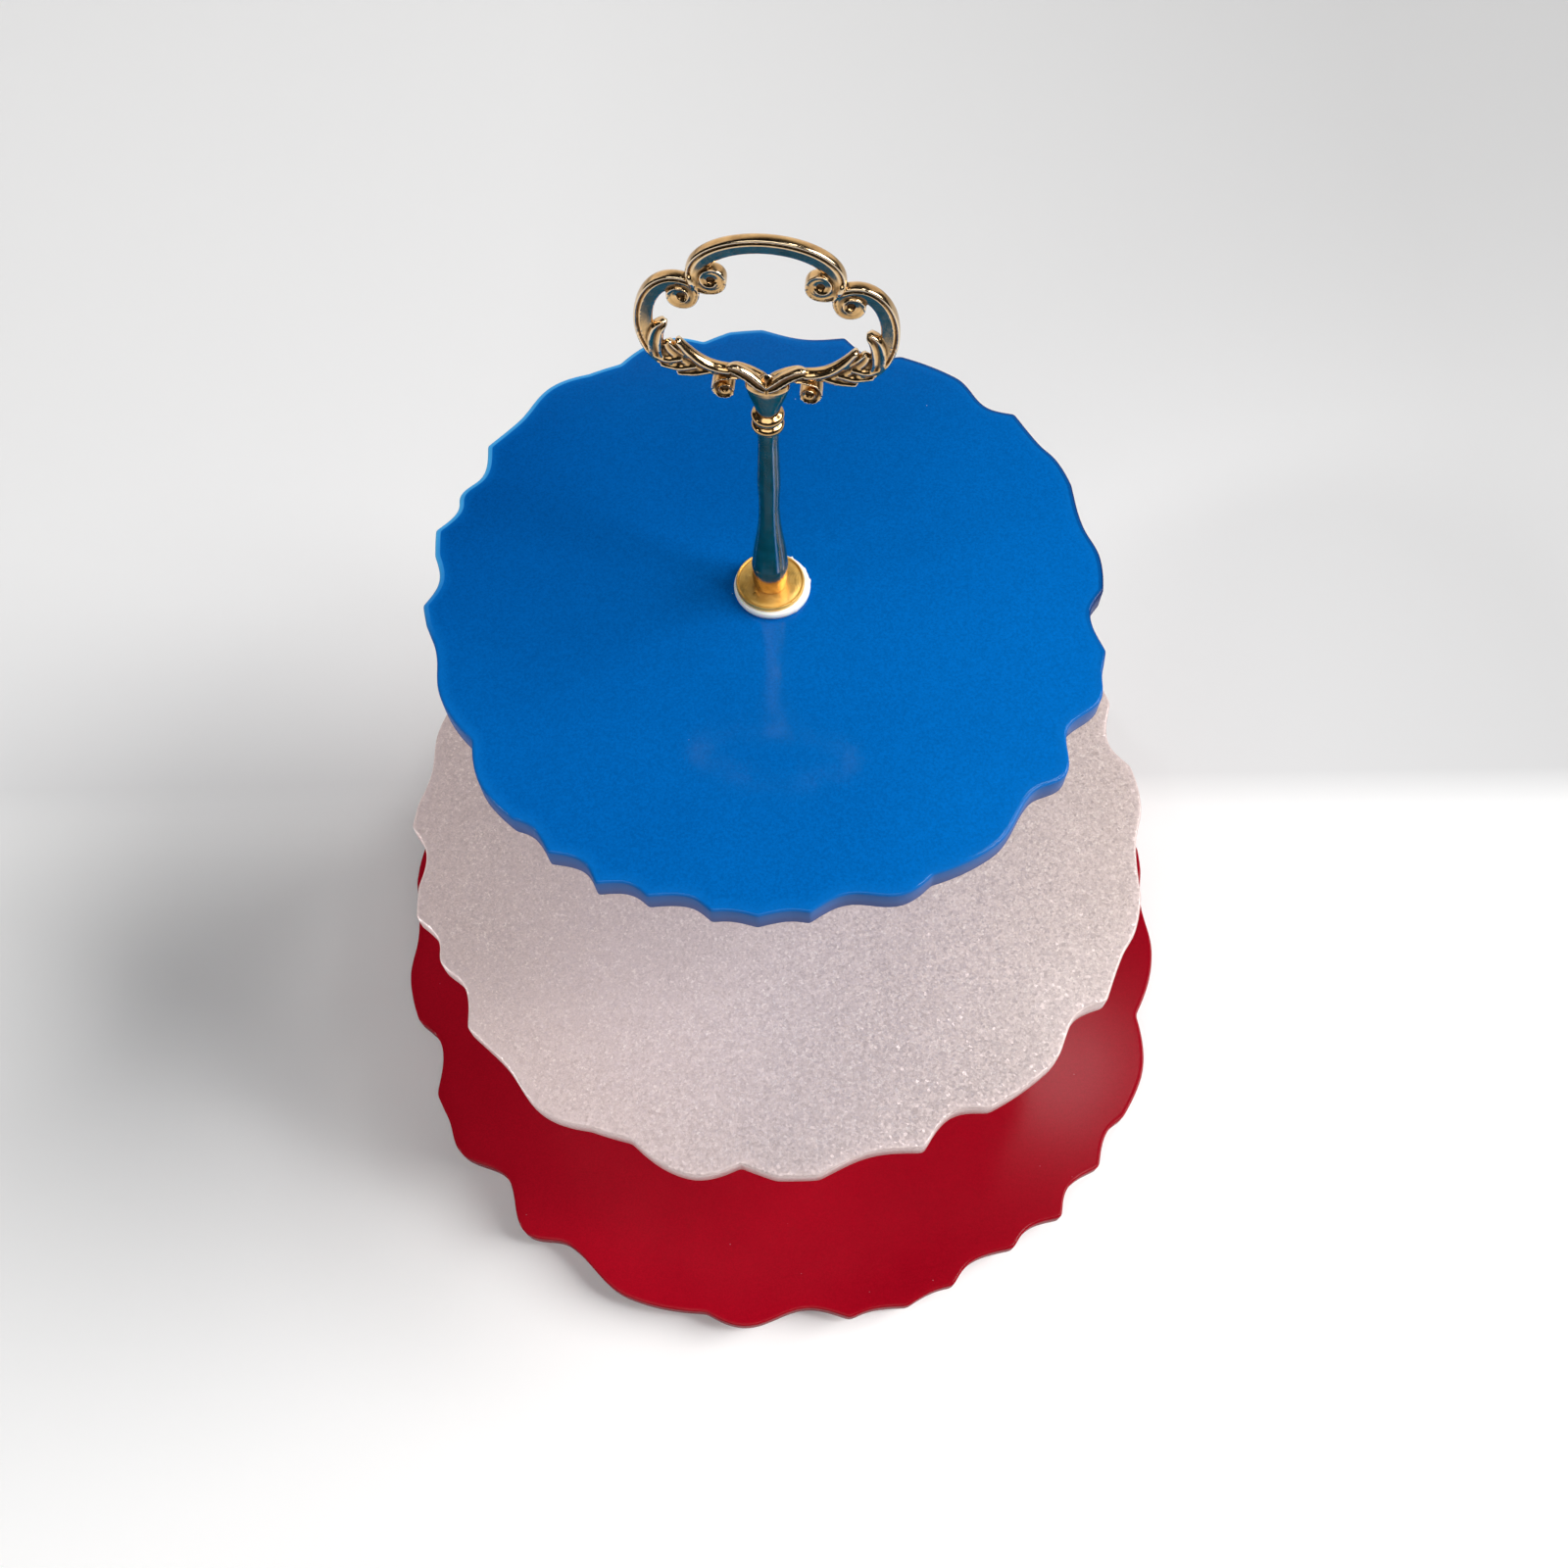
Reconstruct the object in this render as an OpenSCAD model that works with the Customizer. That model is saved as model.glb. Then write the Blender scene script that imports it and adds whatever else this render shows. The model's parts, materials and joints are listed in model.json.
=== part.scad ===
// Three-tier cake stand: cast resin boards with a wavy edge on a screwed column.
// The origin is the middle of the bottom board's footprint, on the table. The
// column stands a little off that middle, because each board is drilled by hand.

/* [Boards] */
// Mean radius of the top board
top_board_r = 100; // [80:1:110]
// Mean radius of the middle board
middle_board_r = 137.5; // [115:0.5:150]
// Mean radius of the bottom board
bottom_board_r = 173; // [155:1:190]
// Thickness of every board
board_t = 8.5; // [6:0.5:12]
// Radius of the hole drilled through every board
board_hole_r = 3.5; // [3.3:0.1:4]
// Angle that the top board is turned to
top_board_turn = 0; // [-180:1:180]
// Angle that the middle board is turned to
middle_board_turn = 5; // [-180:1:180]
// Angle that the bottom board is turned to
bottom_board_turn = -166; // [-180:1:180]
// Middle of the top board, to the right of its hole
top_board_x = 0.5; // [-5:0.5:5]
// Middle of the top board, behind its hole
top_board_y = -2.5; // [-5:0.5:5]
// Middle of the middle board, to the right of its hole
middle_board_x = 4; // [-5:0.5:5]
// Middle of the middle board, behind its hole
middle_board_y = 0; // [-5:0.5:5]
// Column's axis, to the right of the middle of the bottom board's footprint
column_x = -2.5; // [-5:0.5:5]
// Column's axis, behind the middle of the bottom board's footprint
column_y = -4; // [-5:0.5:5]

/* [Rubber feet] */
// Height of a foot
foot_h = 8; // [7:0.5:12]
// Radius of a foot where it is stuck to the board
foot_top_r = 9; // [7:0.5:11]
// Radius of a foot on the table
foot_base_r = 7.5; // [5:0.5:7]
// Distance from the column to each foot
foot_ring_r = 128; // [100:1:130]

/* [Washers and pads] */
// Radius of a plastic pad
pad_r = 11.2; // [9:0.1:13]
// Thickness of a plastic pad
pad_t = 2.4; // [1.5:0.1:2.8]
// Radius of a gold washer
washer_r = 10; // [8:0.1:12]
// Thickness of a gold washer
washer_t = 1.6; // [1:0.1:2.5]
// Radius of the steel washer under the bottom board
base_washer_r = 9; // [7:0.1:11]
// Thickness of the steel washer under the bottom board
base_washer_t = 1.2; // [0.8:0.1:1.4]

/* [Threads] */
// Outer radius of the thread
thread_r = 3; // [2.5:0.1:3]
// Length of thread that holds in each foot
thread_grip = 10; // [8:0.5:12]
// Length of stud that is fixed in the top of a rod
stud_seat = 9; // [7:0.5:9.5]
// Radius of the base screw's head
head_r = 6; // [5:0.1:7]
// Height of the base screw's head
head_h = 2.6; // [2:0.1:2.8]
// Width of the cross recess in the head
recess_w = 1.4; // [1:0.1:1.8]
// Length of the cross recess across the head
recess_len = 6.4; // [4:0.1:8]
// Depth of the cross recess
recess_depth = 1.4; // [0.8:0.1:1.6]

/* [Rods and stem] */
// Length of each rod
rod_len = 126; // [100:1:160]
// Radius of the bell foot
bell_r = 5.2; // [4.9:0.1:6.5]
// Rounding round the bottom of the bell
bell_lip = 0.7; // [0.3:0.1:1.2]
// Height of the bell's straight side
bell_h = 9.5; // [6:0.5:12]
// Length of the flare above the bell
flare_len = 24; // [15:0.5:30]
// Radius of the stem at its waist
waist_r = 2.85; // [2.3:0.05:3.5]
// Radius of the swelling half-way up the stem
bulge_r = 3.1; // [2.5:0.05:4]
// Radius of the neck under the collars
neck_r = 2.65; // [2.2:0.05:3.2]
// Length of plain neck that shows beside a collar
neck_show = 1; // [0.5:0.5:2]
// Outer radius of a collar
collar_r = 4.15; // [3.7:0.05:5]
// Height of one collar
collar_h = 3.2; // [2:0.1:4]
// Distance between the middles of the two collars
collar_pitch = 4; // [3.5:0.1:5]
// Radius of the flat top of a rod
rod_top_r = 6; // [5:0.1:8]
// Height of the straight rim round the top of a rod
rod_rim_h = 2; // [1:0.5:3]
// Height of the flared head of a rod
rod_head_h = 20; // [18:0.5:24]

/* [Handle] */
// Height of the lower collar of the handle above its foot
handle_collar_z = 68; // [55:0.5:80]
// Height of the throat between the collars and the loop
throat_h = 8; // [6:0.5:12]
// Radius at the bottom of the throat
throat_foot_r = 3.05; // [2.6:0.05:3.5]
// Radius at the top of the throat
throat_r = 4.6; // [4:0.1:5.5]
// Angle that the loop is turned to
handle_turn = -6; // [-90:1:90]
// Half the width of the loop's crown
crown_half_w = 17.6; // [15:0.1:20]
// Rise of the crown above its ends
crown_rise = 11; // [8:0.1:14]
// Height of the crown's ends above the throat
crown_z = 37; // [35:0.1:40]
// Distance from the column to the middle of each side lobe
lobe_x = 20.5; // [19:0.1:22]
// Height of the middle of each side lobe above the throat
lobe_z = 21.5; // [20:0.1:23]
// Half the width of a side lobe
lobe_half_w = 9.9; // [8:0.1:11]
// Half the height of a side lobe
lobe_half_h = 14.7; // [13:0.1:16]
// Width of the loop's bar, seen from the front
bar_w = 3.8; // [3:0.1:4.4]
// Width of the bar below the side lobes
low_bar_w = 3; // [2.4:0.1:3.8]
// Depth of the loop's bar
bar_depth = 3.4; // [2.5:0.1:4.5]
// Radius of the scrolls at the ends of the crown
crown_scroll_r = 3.5; // [3:0.1:4]
// Drop from the ends of the crown to the middle of its scrolls
crown_scroll_drop = 1.1; // [0:0.1:2]
// Radius of the scrolls at the tops of the side lobes
lobe_scroll_r = 3.4; // [3:0.1:4]
// Distance from the middle of a lobe in to the middle of its scroll
lobe_scroll_in = 1.3; // [0:0.1:2.5]
// Gap from the top of a lobe down to its scroll
lobe_scroll_drop = 2.1; // [1:0.1:3]
// Radius of the scrolls under the loop
low_scroll_r = 2.6; // [2:0.1:3]
// Distance from the column to the middle of the scrolls under the loop
low_scroll_x = 10.3; // [9:0.1:11]
// Height of the middle of those scrolls above the throat
low_scroll_z = 1.4; // [0.5:0.1:2.5]
// Radius of the eye in each scroll
scroll_eye_r = 0.9; // [0.6:0.1:1.4]
// Depth of the scrolls
scroll_depth = 4.2; // [3.5:0.1:5]
// Depth of the leaves
leaf_depth = 2.8; // [2:0.1:3.4]
// Depth of the two leaves that meet over the throat
crossed_leaf_depth = 5; // [4:0.1:6]

/* [Clearances] */
// Gap round a thread in its hole
thread_gap = 0.05; // [0.03:0.01:0.1]
// Gap round a thread in a washer or a pad
washer_gap = 0.2; // [0.1:0.05:0.4]
// Room left past the end of a thread
thread_end_gap = 1; // [0.5:0.1:2]

/* [Hidden] */
$fn = 96;

// Colours of the pieces
red_resin = [0.62, 0.02, 0.08];
pearl_resin = [0.82, 0.76, 0.76];
blue_resin = [0.02, 0.36, 0.72];
gold = [0.83, 0.62, 0.27];
steel = [0.7, 0.7, 0.72];
clear_white = [0.93, 0.92, 0.9];
rubber = [0.12, 0.12, 0.12];

// Heights up the stack, each piece on the one below it
bottom_board_z = foot_h;
bottom_pad_z = bottom_board_z + board_t;
lower_washer_z = bottom_pad_z + pad_t;
lower_rod_z = lower_washer_z + washer_t;
middle_lower_pad_z = lower_rod_z + rod_len;
middle_board_z = middle_lower_pad_z + pad_t;
middle_upper_pad_z = middle_board_z + board_t;
middle_washer_z = middle_upper_pad_z + pad_t;
upper_rod_z = middle_washer_z + washer_t;
top_lower_pad_z = upper_rod_z + rod_len;
top_board_z = top_lower_pad_z + pad_t;
top_upper_pad_z = top_board_z + board_t;
top_washer_z = top_upper_pad_z + pad_t;
handle_z = top_washer_z + washer_t;

// The hardware under the bottom board hangs down from it
lower_pad_under_z = bottom_board_z - pad_t;
base_washer_z = lower_pad_under_z - base_washer_t;

// What a thread passes through between a rod's top and the foot above it
clamped_t = board_t + 2 * pad_t + washer_t;
// The cut that opens a hole runs this far past each face
cut = 1;

// ---- Edge of the boards -------------------------------------------------
// All three boards are cast in one shape of mould, in three sizes. Each row is a
// high or low point of its edge: the angle, the radius as a percentage of the
// mean radius, and whether the edge comes to a crisp corner there.
CRISP = true;
ROUND = false;
EDGE = [
    [0, 97.3, CRISP], [7, 98.5, ROUND], [14, 96.8, ROUND], [23, 99.9, CRISP],
    [29, 100.8, ROUND], [33, 100, ROUND], [41, 101.9, CRISP], [46, 97.7, ROUND],
    [54, 101.4, ROUND], [65, 100.5, CRISP], [70, 97.1, ROUND], [76, 102.3, CRISP],
    [83, 99.6, ROUND], [91, 103.2, CRISP], [97, 103.1, CRISP], [102, 100.5, CRISP],
    [109, 105.3, ROUND], [118, 101.3, CRISP], [124, 103, CRISP], [131, 106, ROUND],
    [140, 103, ROUND], [147, 104.3, CRISP], [153, 99.2, ROUND], [158, 101.8, ROUND],
    [161, 100.1, ROUND], [166, 103.8, CRISP], [171, 101.4, CRISP], [176, 98.4, ROUND],
    [181, 102.1, CRISP], [185, 100.8, CRISP], [191, 98.5, ROUND], [198, 99.9, ROUND],
    [209, 96.5, CRISP], [219, 101.5, ROUND], [225, 100.9, CRISP], [228, 99.1, ROUND],
    [233, 101.9, CRISP], [238, 98.9, ROUND], [242, 102.6, CRISP], [247, 99, ROUND],
    [250, 100.5, CRISP], [256, 97.6, ROUND], [260, 100.5, CRISP], [263, 99.7, ROUND],
    [267, 100.8, CRISP], [272, 99.2, ROUND], [275, 100.1, CRISP], [281, 96.6, ROUND],
    [290, 100.8, ROUND], [295, 98.8, CRISP], [306, 100.5, ROUND], [317, 96.3, ROUND],
    [323, 100.3, ROUND], [331, 94.1, ROUND], [339, 99.5, ROUND], [344, 97.9, ROUND],
    [348, 97.9, CRISP], [355, 93, ROUND], [360, 97.3, CRISP]
];
edge_step = 1;

// Share of the way from one row to the next: it leaves a crisp corner at a slope
// and a round point level.
function eased(t, from, to) =
    from && to ? t
    : from ? sin(90 * t)
    : to ? 1 - cos(90 * t)
    : (1 - cos(180 * t)) / 2;

function edge_radius(a) =
    let (i = max([for (k = [0:len(EDGE) - 2]) if (EDGE[k][0] <= a) k]))
    let (p = EDGE[i], q = EDGE[i + 1])
    let (t = (a - p[0]) / (q[0] - p[0]))
    (p[1] + (q[1] - p[1]) * eased(t, p[2], q[2])) / 100;

// side is 1 as moulded, or -1 for a board laid with its other face up
function edge_points(r, turn, side) = [
    for (a = [0:edge_step:359])
        r * edge_radius(a) * [cos(turn + side * a), sin(turn + side * a)]
];

// Middle of the smallest upright rectangle round some points
function box_middle(points) =
    let (xs = [for (p = points) p[0]], ys = [for (p = points) p[1]])
    [min(xs) + max(xs), min(ys) + max(ys)] / 2;

// ---- Shared shapes ------------------------------------------------------
module at_column(z) {
    translate([column_x, column_y, z])
        children();
}

module board(points, middle, z) {
    difference() {
        translate([middle[0], middle[1], z])
            linear_extrude(board_t)
                polygon(points);
        at_column(z - cut)
            cylinder(h = board_t + 2 * cut, r = board_hole_r);
    }
}

module ring(r, t) {
    difference() {
        cylinder(h = t, r = r);
        translate([0, 0, -cut])
            cylinder(h = t + 2 * cut, r = thread_r + washer_gap);
    }
}

// Points that glide from p to q, level in radius at both ends
function glide(p, q, n) = [
    for (i = [0:n])
        [p[0] + (q[0] - p[0]) * (1 - cos(180 * i / n)) / 2, p[1] + (q[1] - p[1]) * i / n]
];

// Half-round collar whose middle is at z
function collar(z) = [
    for (a = [-90:15:90])
        [neck_r + (collar_r - neck_r) * cos(a), z + collar_h / 2 * sin(a)]
];

// Turned profile from the foot up to the first collar, whose middle is at top
function stem_profile(top) =
    let (waist_z = bell_h + flare_len)
    let (neck_z = top - collar_h / 2)
    let (bulge_z = (waist_z + neck_z) / 2)
    concat(
        [for (a = [0:30:90]) [bell_r - bell_lip * (1 - sin(a)), bell_lip * (1 - cos(a))]],
        glide([bell_r, bell_h], [waist_r, waist_z], 10),
        glide([waist_r, waist_z], [bulge_r, bulge_z], 6),
        glide([bulge_r, bulge_z], [neck_r, neck_z - neck_show], 6)
    );

// Threaded hole up into a foot
module foot_bore() {
    translate([0, 0, -cut])
        cylinder(h = cut + thread_grip + thread_end_gap, r = thread_r + thread_gap);
}

// ---- Boards -------------------------------------------------------------
module bottom_board() {
    points = edge_points(bottom_board_r, bottom_board_turn, -1);
    color(red_resin)
        board(points, -box_middle(points), bottom_board_z);
}

module middle_board() {
    points = edge_points(middle_board_r, middle_board_turn, -1);
    color(pearl_resin)
        board(points, [column_x + middle_board_x, column_y + middle_board_y], middle_board_z);
}

module top_board() {
    points = edge_points(top_board_r, top_board_turn, 1);
    color(blue_resin)
        board(points, [column_x + top_board_x, column_y + top_board_y], top_board_z);
}

// ---- Feet ---------------------------------------------------------------
module foot(n) {
    color(rubber)
        at_column(0)
            rotate(90 * n - 45)
                translate([foot_ring_r, 0, 0])
                    cylinder(h = foot_h, r1 = foot_base_r, r2 = foot_top_r);
}

// ---- Washers and pads ---------------------------------------------------
module pad(z) {
    color(clear_white)
        at_column(z)
            ring(pad_r, pad_t);
}

module washer(z) {
    color(gold)
        at_column(z)
            ring(washer_r, washer_t);
}

module base_washer() {
    color(steel)
        at_column(base_washer_z)
            ring(base_washer_r, base_washer_t);
}

// ---- Screw and studs ----------------------------------------------------
module base_screw() {
    shank = base_washer_t + clamped_t + thread_grip;
    color(steel)
        at_column(base_washer_z)
            difference() {
                union() {
                    cylinder(h = shank, r = thread_r);
                    translate([0, 0, -head_h])
                        cylinder(h = head_h, r = head_r);
                }
                for (turn = [0, 90])
                    rotate(turn)
                        translate([-recess_len / 2, -recess_w / 2, -head_h - cut])
                            cube([recess_len, recess_w, recess_depth + cut]);
            }
}

module stud(rod_z) {
    color(steel)
        at_column(rod_z + rod_len - stud_seat)
            cylinder(h = stud_seat + clamped_t + thread_grip, r = thread_r);
}

// ---- Rods ---------------------------------------------------------------
module rod(z) {
    first = rod_len - rod_head_h - collar_pitch;
    second = first + collar_pitch;
    profile = concat(
        stem_profile(first),
        collar(first),
        collar(second),
        glide([neck_r, second + collar_h / 2 + neck_show], [rod_top_r, rod_len - rod_rim_h], 8),
        [[rod_top_r, rod_len], [0, rod_len], [0, 0]]
    );
    color(gold)
        at_column(z)
            difference() {
                rotate_extrude()
                    polygon(profile);
                foot_bore();
                translate([0, 0, rod_len - stud_seat])
                    cylinder(h = stud_seat + cut, r = thread_r + thread_gap);
            }
}

// ---- Handle -------------------------------------------------------------
// The loop is drawn flat, x across and y up from the top of the throat, and its
// right half is mirrored to the left.
function on_ellipse(middle, half_w, half_h, from, to, n) = [
    for (i = [0:n])
        let (a = from + (to - from) * i / n)
        middle + [half_w * cos(a), half_h * sin(a)]
];

// Outline of a bar of width w that follows a path
function bar_outline(path, w) =
    let (last = len(path) - 1)
    let (sides = [
        for (i = [0:last])
            let (d = path[min(i + 1, last)] - path[max(i - 1, 0)])
            w / 2 * [-d[1], d[0]] / norm(d)
    ])
    concat(
        [for (i = [0:last]) path[i] + sides[i]],
        [for (i = [last:-1:0]) path[i] - sides[i]]
    );

// A leaf from its root to its tip, widest part-way and bowed to one side
function leaf_outline(root, tip, w, bow) =
    let (along = tip - root)
    let (across = [-along[1], along[0]] / norm(along))
    let (n = 8)
    concat(
        [for (i = [0:n]) root + along * i / n
            + across * (bow * sin(180 * i / n) + w / 2 * cos(90 * i / n))],
        [for (i = [n - 1:-1:0]) root + along * i / n
            + across * (bow * sin(180 * i / n) - w / 2 * cos(90 * i / n))]
    );

module slab(depth) {
    rotate([90, 0, 0])
        translate([0, 0, -depth / 2])
            linear_extrude(depth)
                children();
}

module scroll(middle, r) {
    slab(scroll_depth)
        translate(middle)
            difference() {
                circle(r);
                circle(scroll_eye_r);
            }
}

// Curve from a to c, pulled towards b
function curve(a, b, c, n) = [
    for (i = [0:n])
        let (t = i / n)
        (1 - t) * (1 - t) * a + 2 * t * (1 - t) * b + t * t * c
];

// The crown starts a little past its middle, so that the two halves overlap
crown_span = [94, -25];
lobe_span = [118, -62];
// The low bar runs from the end of the lobe towards the column, pulled outwards
low_bar_pull = [4.8, 5];
low_bar_end = [8, 6.8];

// The crown, the side lobe and the low bar, with the scrolls that end them
module loop_bars() {
    crown = on_ellipse(
        [0, crown_z], crown_half_w - bar_w / 2, crown_rise - bar_w / 2,
        crown_span[0], crown_span[1], 20);
    lobe = on_ellipse(
        [lobe_x, lobe_z], lobe_half_w - bar_w / 2, lobe_half_h - bar_w / 2,
        lobe_span[0], lobe_span[1], 24);
    lobe_end = lobe[len(lobe) - 1];
    slab(bar_depth) {
        polygon(bar_outline(crown, bar_w));
        polygon(bar_outline(lobe, bar_w));
        polygon(bar_outline(curve(lobe_end, lobe_end - low_bar_pull, low_bar_end, 8), low_bar_w));
    }
    scroll([crown_half_w - crown_scroll_r - bar_w / 2, crown_z - crown_scroll_drop], crown_scroll_r);
    scroll(
        [lobe_x - lobe_scroll_in, lobe_z + lobe_half_h - lobe_scroll_r - lobe_scroll_drop],
        lobe_scroll_r);
    scroll([low_scroll_x, low_scroll_z], low_scroll_r);
}

// Leaves along the lower half of the loop: root, tip, width and bow of each
LEAVES = [
    [[8, 6.2], [21.2, 16], 4, -3],
    [[25.5, 12.5], [23, 21.7], 4, -0.8],
    [[20.5, 9], [25.5, 8.5], 2.6, -0.4],
    [[14.5, 7], [21.5, 5.7], 2.6, -0.4],
    [[9, 7.5], [12.6, 2], 2.6, 0.6]
];
// The leaf that crosses over the throat to meet its mirrored twin
CROSSED_LEAF = [[-0.5, 2], [9.2, 8.6], 4.6, 0.8];
// Outline of the saddle that carries the loop on the throat
saddle = [[-0.5, -2], [throat_r, -1], [throat_r + 1.5, 4.5], [-0.5, 2.5]];
saddle_depth = crossed_leaf_depth + 1;

module leaf(row) {
    polygon(leaf_outline(row[0], row[1], row[2], row[3]));
}

module loop_half() {
    loop_bars();
    slab(leaf_depth)
        for (row = LEAVES)
            leaf(row);
    slab(crossed_leaf_depth)
        leaf(CROSSED_LEAF);
    slab(saddle_depth)
        polygon(saddle);
}

module handle() {
    throat_z = handle_collar_z + collar_pitch + throat_h;
    upper_collar_z = handle_collar_z + collar_pitch;
    profile = concat(
        stem_profile(handle_collar_z),
        collar(handle_collar_z),
        collar(upper_collar_z),
        glide([throat_foot_r, upper_collar_z + collar_h / 2], [throat_r, throat_z], 8),
        [[0, throat_z], [0, 0]]
    );
    color(gold)
        at_column(handle_z)
            rotate(handle_turn)
                difference() {
                    union() {
                        rotate_extrude()
                            polygon(profile);
                        translate([0, 0, throat_z])
                            for (side = [0, 1])
                                mirror([side, 0, 0])
                                    loop_half();
                    }
                    foot_bore();
                }
}

bottom_board();
middle_board();
top_board();
foot(1);  // foot_1
foot(2);  // foot_2
foot(3);  // foot_3
foot(4);  // foot_4
base_screw();
base_washer();
pad(lower_pad_under_z);  // bottom_lower_pad
pad(bottom_pad_z);  // bottom_upper_pad
washer(lower_washer_z);  // lower_washer
rod(lower_rod_z);  // lower_rod
stud(lower_rod_z);  // lower_stud
pad(middle_lower_pad_z);  // middle_lower_pad
pad(middle_upper_pad_z);  // middle_upper_pad
washer(middle_washer_z);  // middle_washer
rod(upper_rod_z);  // upper_rod
stud(upper_rod_z);  // upper_stud
pad(top_lower_pad_z);  // top_lower_pad
pad(top_upper_pad_z);  // top_upper_pad
washer(top_washer_z);  // top_washer
handle();
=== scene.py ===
import json
import math

import bpy
import numpy as np
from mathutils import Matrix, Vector


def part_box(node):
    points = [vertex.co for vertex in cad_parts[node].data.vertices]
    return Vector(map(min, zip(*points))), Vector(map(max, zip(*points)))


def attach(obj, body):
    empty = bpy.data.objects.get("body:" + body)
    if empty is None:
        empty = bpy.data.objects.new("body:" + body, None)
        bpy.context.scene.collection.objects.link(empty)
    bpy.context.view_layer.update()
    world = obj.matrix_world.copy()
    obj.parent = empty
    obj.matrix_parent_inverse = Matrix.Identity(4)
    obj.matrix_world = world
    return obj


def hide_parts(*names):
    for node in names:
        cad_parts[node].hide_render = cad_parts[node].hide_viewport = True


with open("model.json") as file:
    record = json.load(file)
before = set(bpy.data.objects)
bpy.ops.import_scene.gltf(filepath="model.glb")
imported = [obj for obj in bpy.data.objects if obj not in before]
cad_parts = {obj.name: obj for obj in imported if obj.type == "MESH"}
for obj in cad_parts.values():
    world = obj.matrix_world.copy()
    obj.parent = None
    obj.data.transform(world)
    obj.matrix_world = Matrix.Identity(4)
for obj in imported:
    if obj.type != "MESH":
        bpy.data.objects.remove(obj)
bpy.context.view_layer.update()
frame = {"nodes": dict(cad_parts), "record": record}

MM = 0.001
BODY_OF = {node: body for body, nodes in frame["record"]["behaviour"]["bodies"].items()
           for node in nodes}


# ---- Places, all read from the frame ----------------------------------------
def low(node):
    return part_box(node)[0]


def high(node):
    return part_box(node)[1]


def middle(node):
    return (low(node) + high(node)) / 2


def height_mm(node):
    return (high(node).z - low(node).z) / MM


COLUMN = Vector((middle("top_washer").x, middle("top_washer").y, 0))


def at_column(z):
    return (COLUMN.x, COLUMN.y, z)


# ---- Mesh tools -------------------------------------------------------------
def mesh_object(name, verts, faces, sharp_deg):
    mesh = bpy.data.meshes.new(name)
    mesh.from_pydata([tuple(v) for v in verts], [], [tuple(f) for f in faces])
    mesh.validate()
    mesh.update()
    mesh.shade_smooth()
    mesh.set_sharp_from_angle(angle=math.radians(sharp_deg))
    obj = bpy.data.objects.new(name, mesh)
    bpy.context.scene.collection.objects.link(obj)
    return obj


def point_values(obj, key, values):
    """Store a number at each point, which the materials read by its key."""
    obj.data.attributes.new(key, "FLOAT", "POINT").data.foreach_set(
        "value", values.astype(np.float32))


def grid_faces(rows, cols, start=0, close_rows=False):
    """Quads between neighbouring rows of cols points, each row a closed ring."""
    faces = []
    last = rows if close_rows else rows - 1
    for i in range(last):
        a, b = start + i * cols, start + (i + 1) % rows * cols
        for j in range(cols):
            k = (j + 1) % cols
            faces.append((a + j, a + k, b + k, b + j))
    return faces


def circle(r, z, n):
    """n points of a level circle round Z."""
    return [(r * math.cos(a), r * math.sin(a), z)
            for a in (2 * math.pi * j / n for j in range(n))]


def lathe(profile, n, centre=(0, 0, 0), closed=False):
    """Turn (radius, height) points in mm round Z. A zero radius becomes one point."""
    verts, rings = [], []
    for r, z in profile:
        if r < 1e-6:
            rings.append([len(verts)])
            verts.append((0, 0, z))
            continue
        rings.append(list(range(len(verts), len(verts) + n)))
        verts += circle(r, z, n)
    faces = []
    pairs = list(zip(rings, rings[1:])) + ([(rings[-1], rings[0])] if closed else [])
    for a, b in pairs:
        for j in range(n):
            k = (j + 1) % n
            if len(a) == 1:
                faces.append((a[0], b[k], b[j]))
            elif len(b) == 1:
                faces.append((a[j], a[k], b[0]))
            else:
                faces.append((a[j], a[k], b[k], b[j]))
    verts = np.array(verts, float) * MM + np.array(centre, float)
    return verts, faces


def spline(points, n):
    """Smooth curve through the points: n steps to each span."""
    p = np.array(points, float)
    ext = np.vstack([2 * p[0] - p[1], p, 2 * p[-1] - p[-2]])
    out = []
    for i in range(1, len(ext) - 2):
        a, b, c, d = ext[i - 1], ext[i], ext[i + 1], ext[i + 2]
        for t in np.arange(n) / n:
            out.append(0.5 * ((2 * b) + (c - a) * t + (2 * a - 5 * b + 4 * c - d) * t * t
                              + (3 * b - a - 3 * c + d) * t ** 3))
    out.append(p[-1])
    return np.array(out)


def finish_piece(obj, node, material):
    """Let the piece stand in for its CAD node and ride that node's body."""
    obj.data.materials.append(material)
    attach(obj, BODY_OF[node])
    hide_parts(node)


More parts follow.
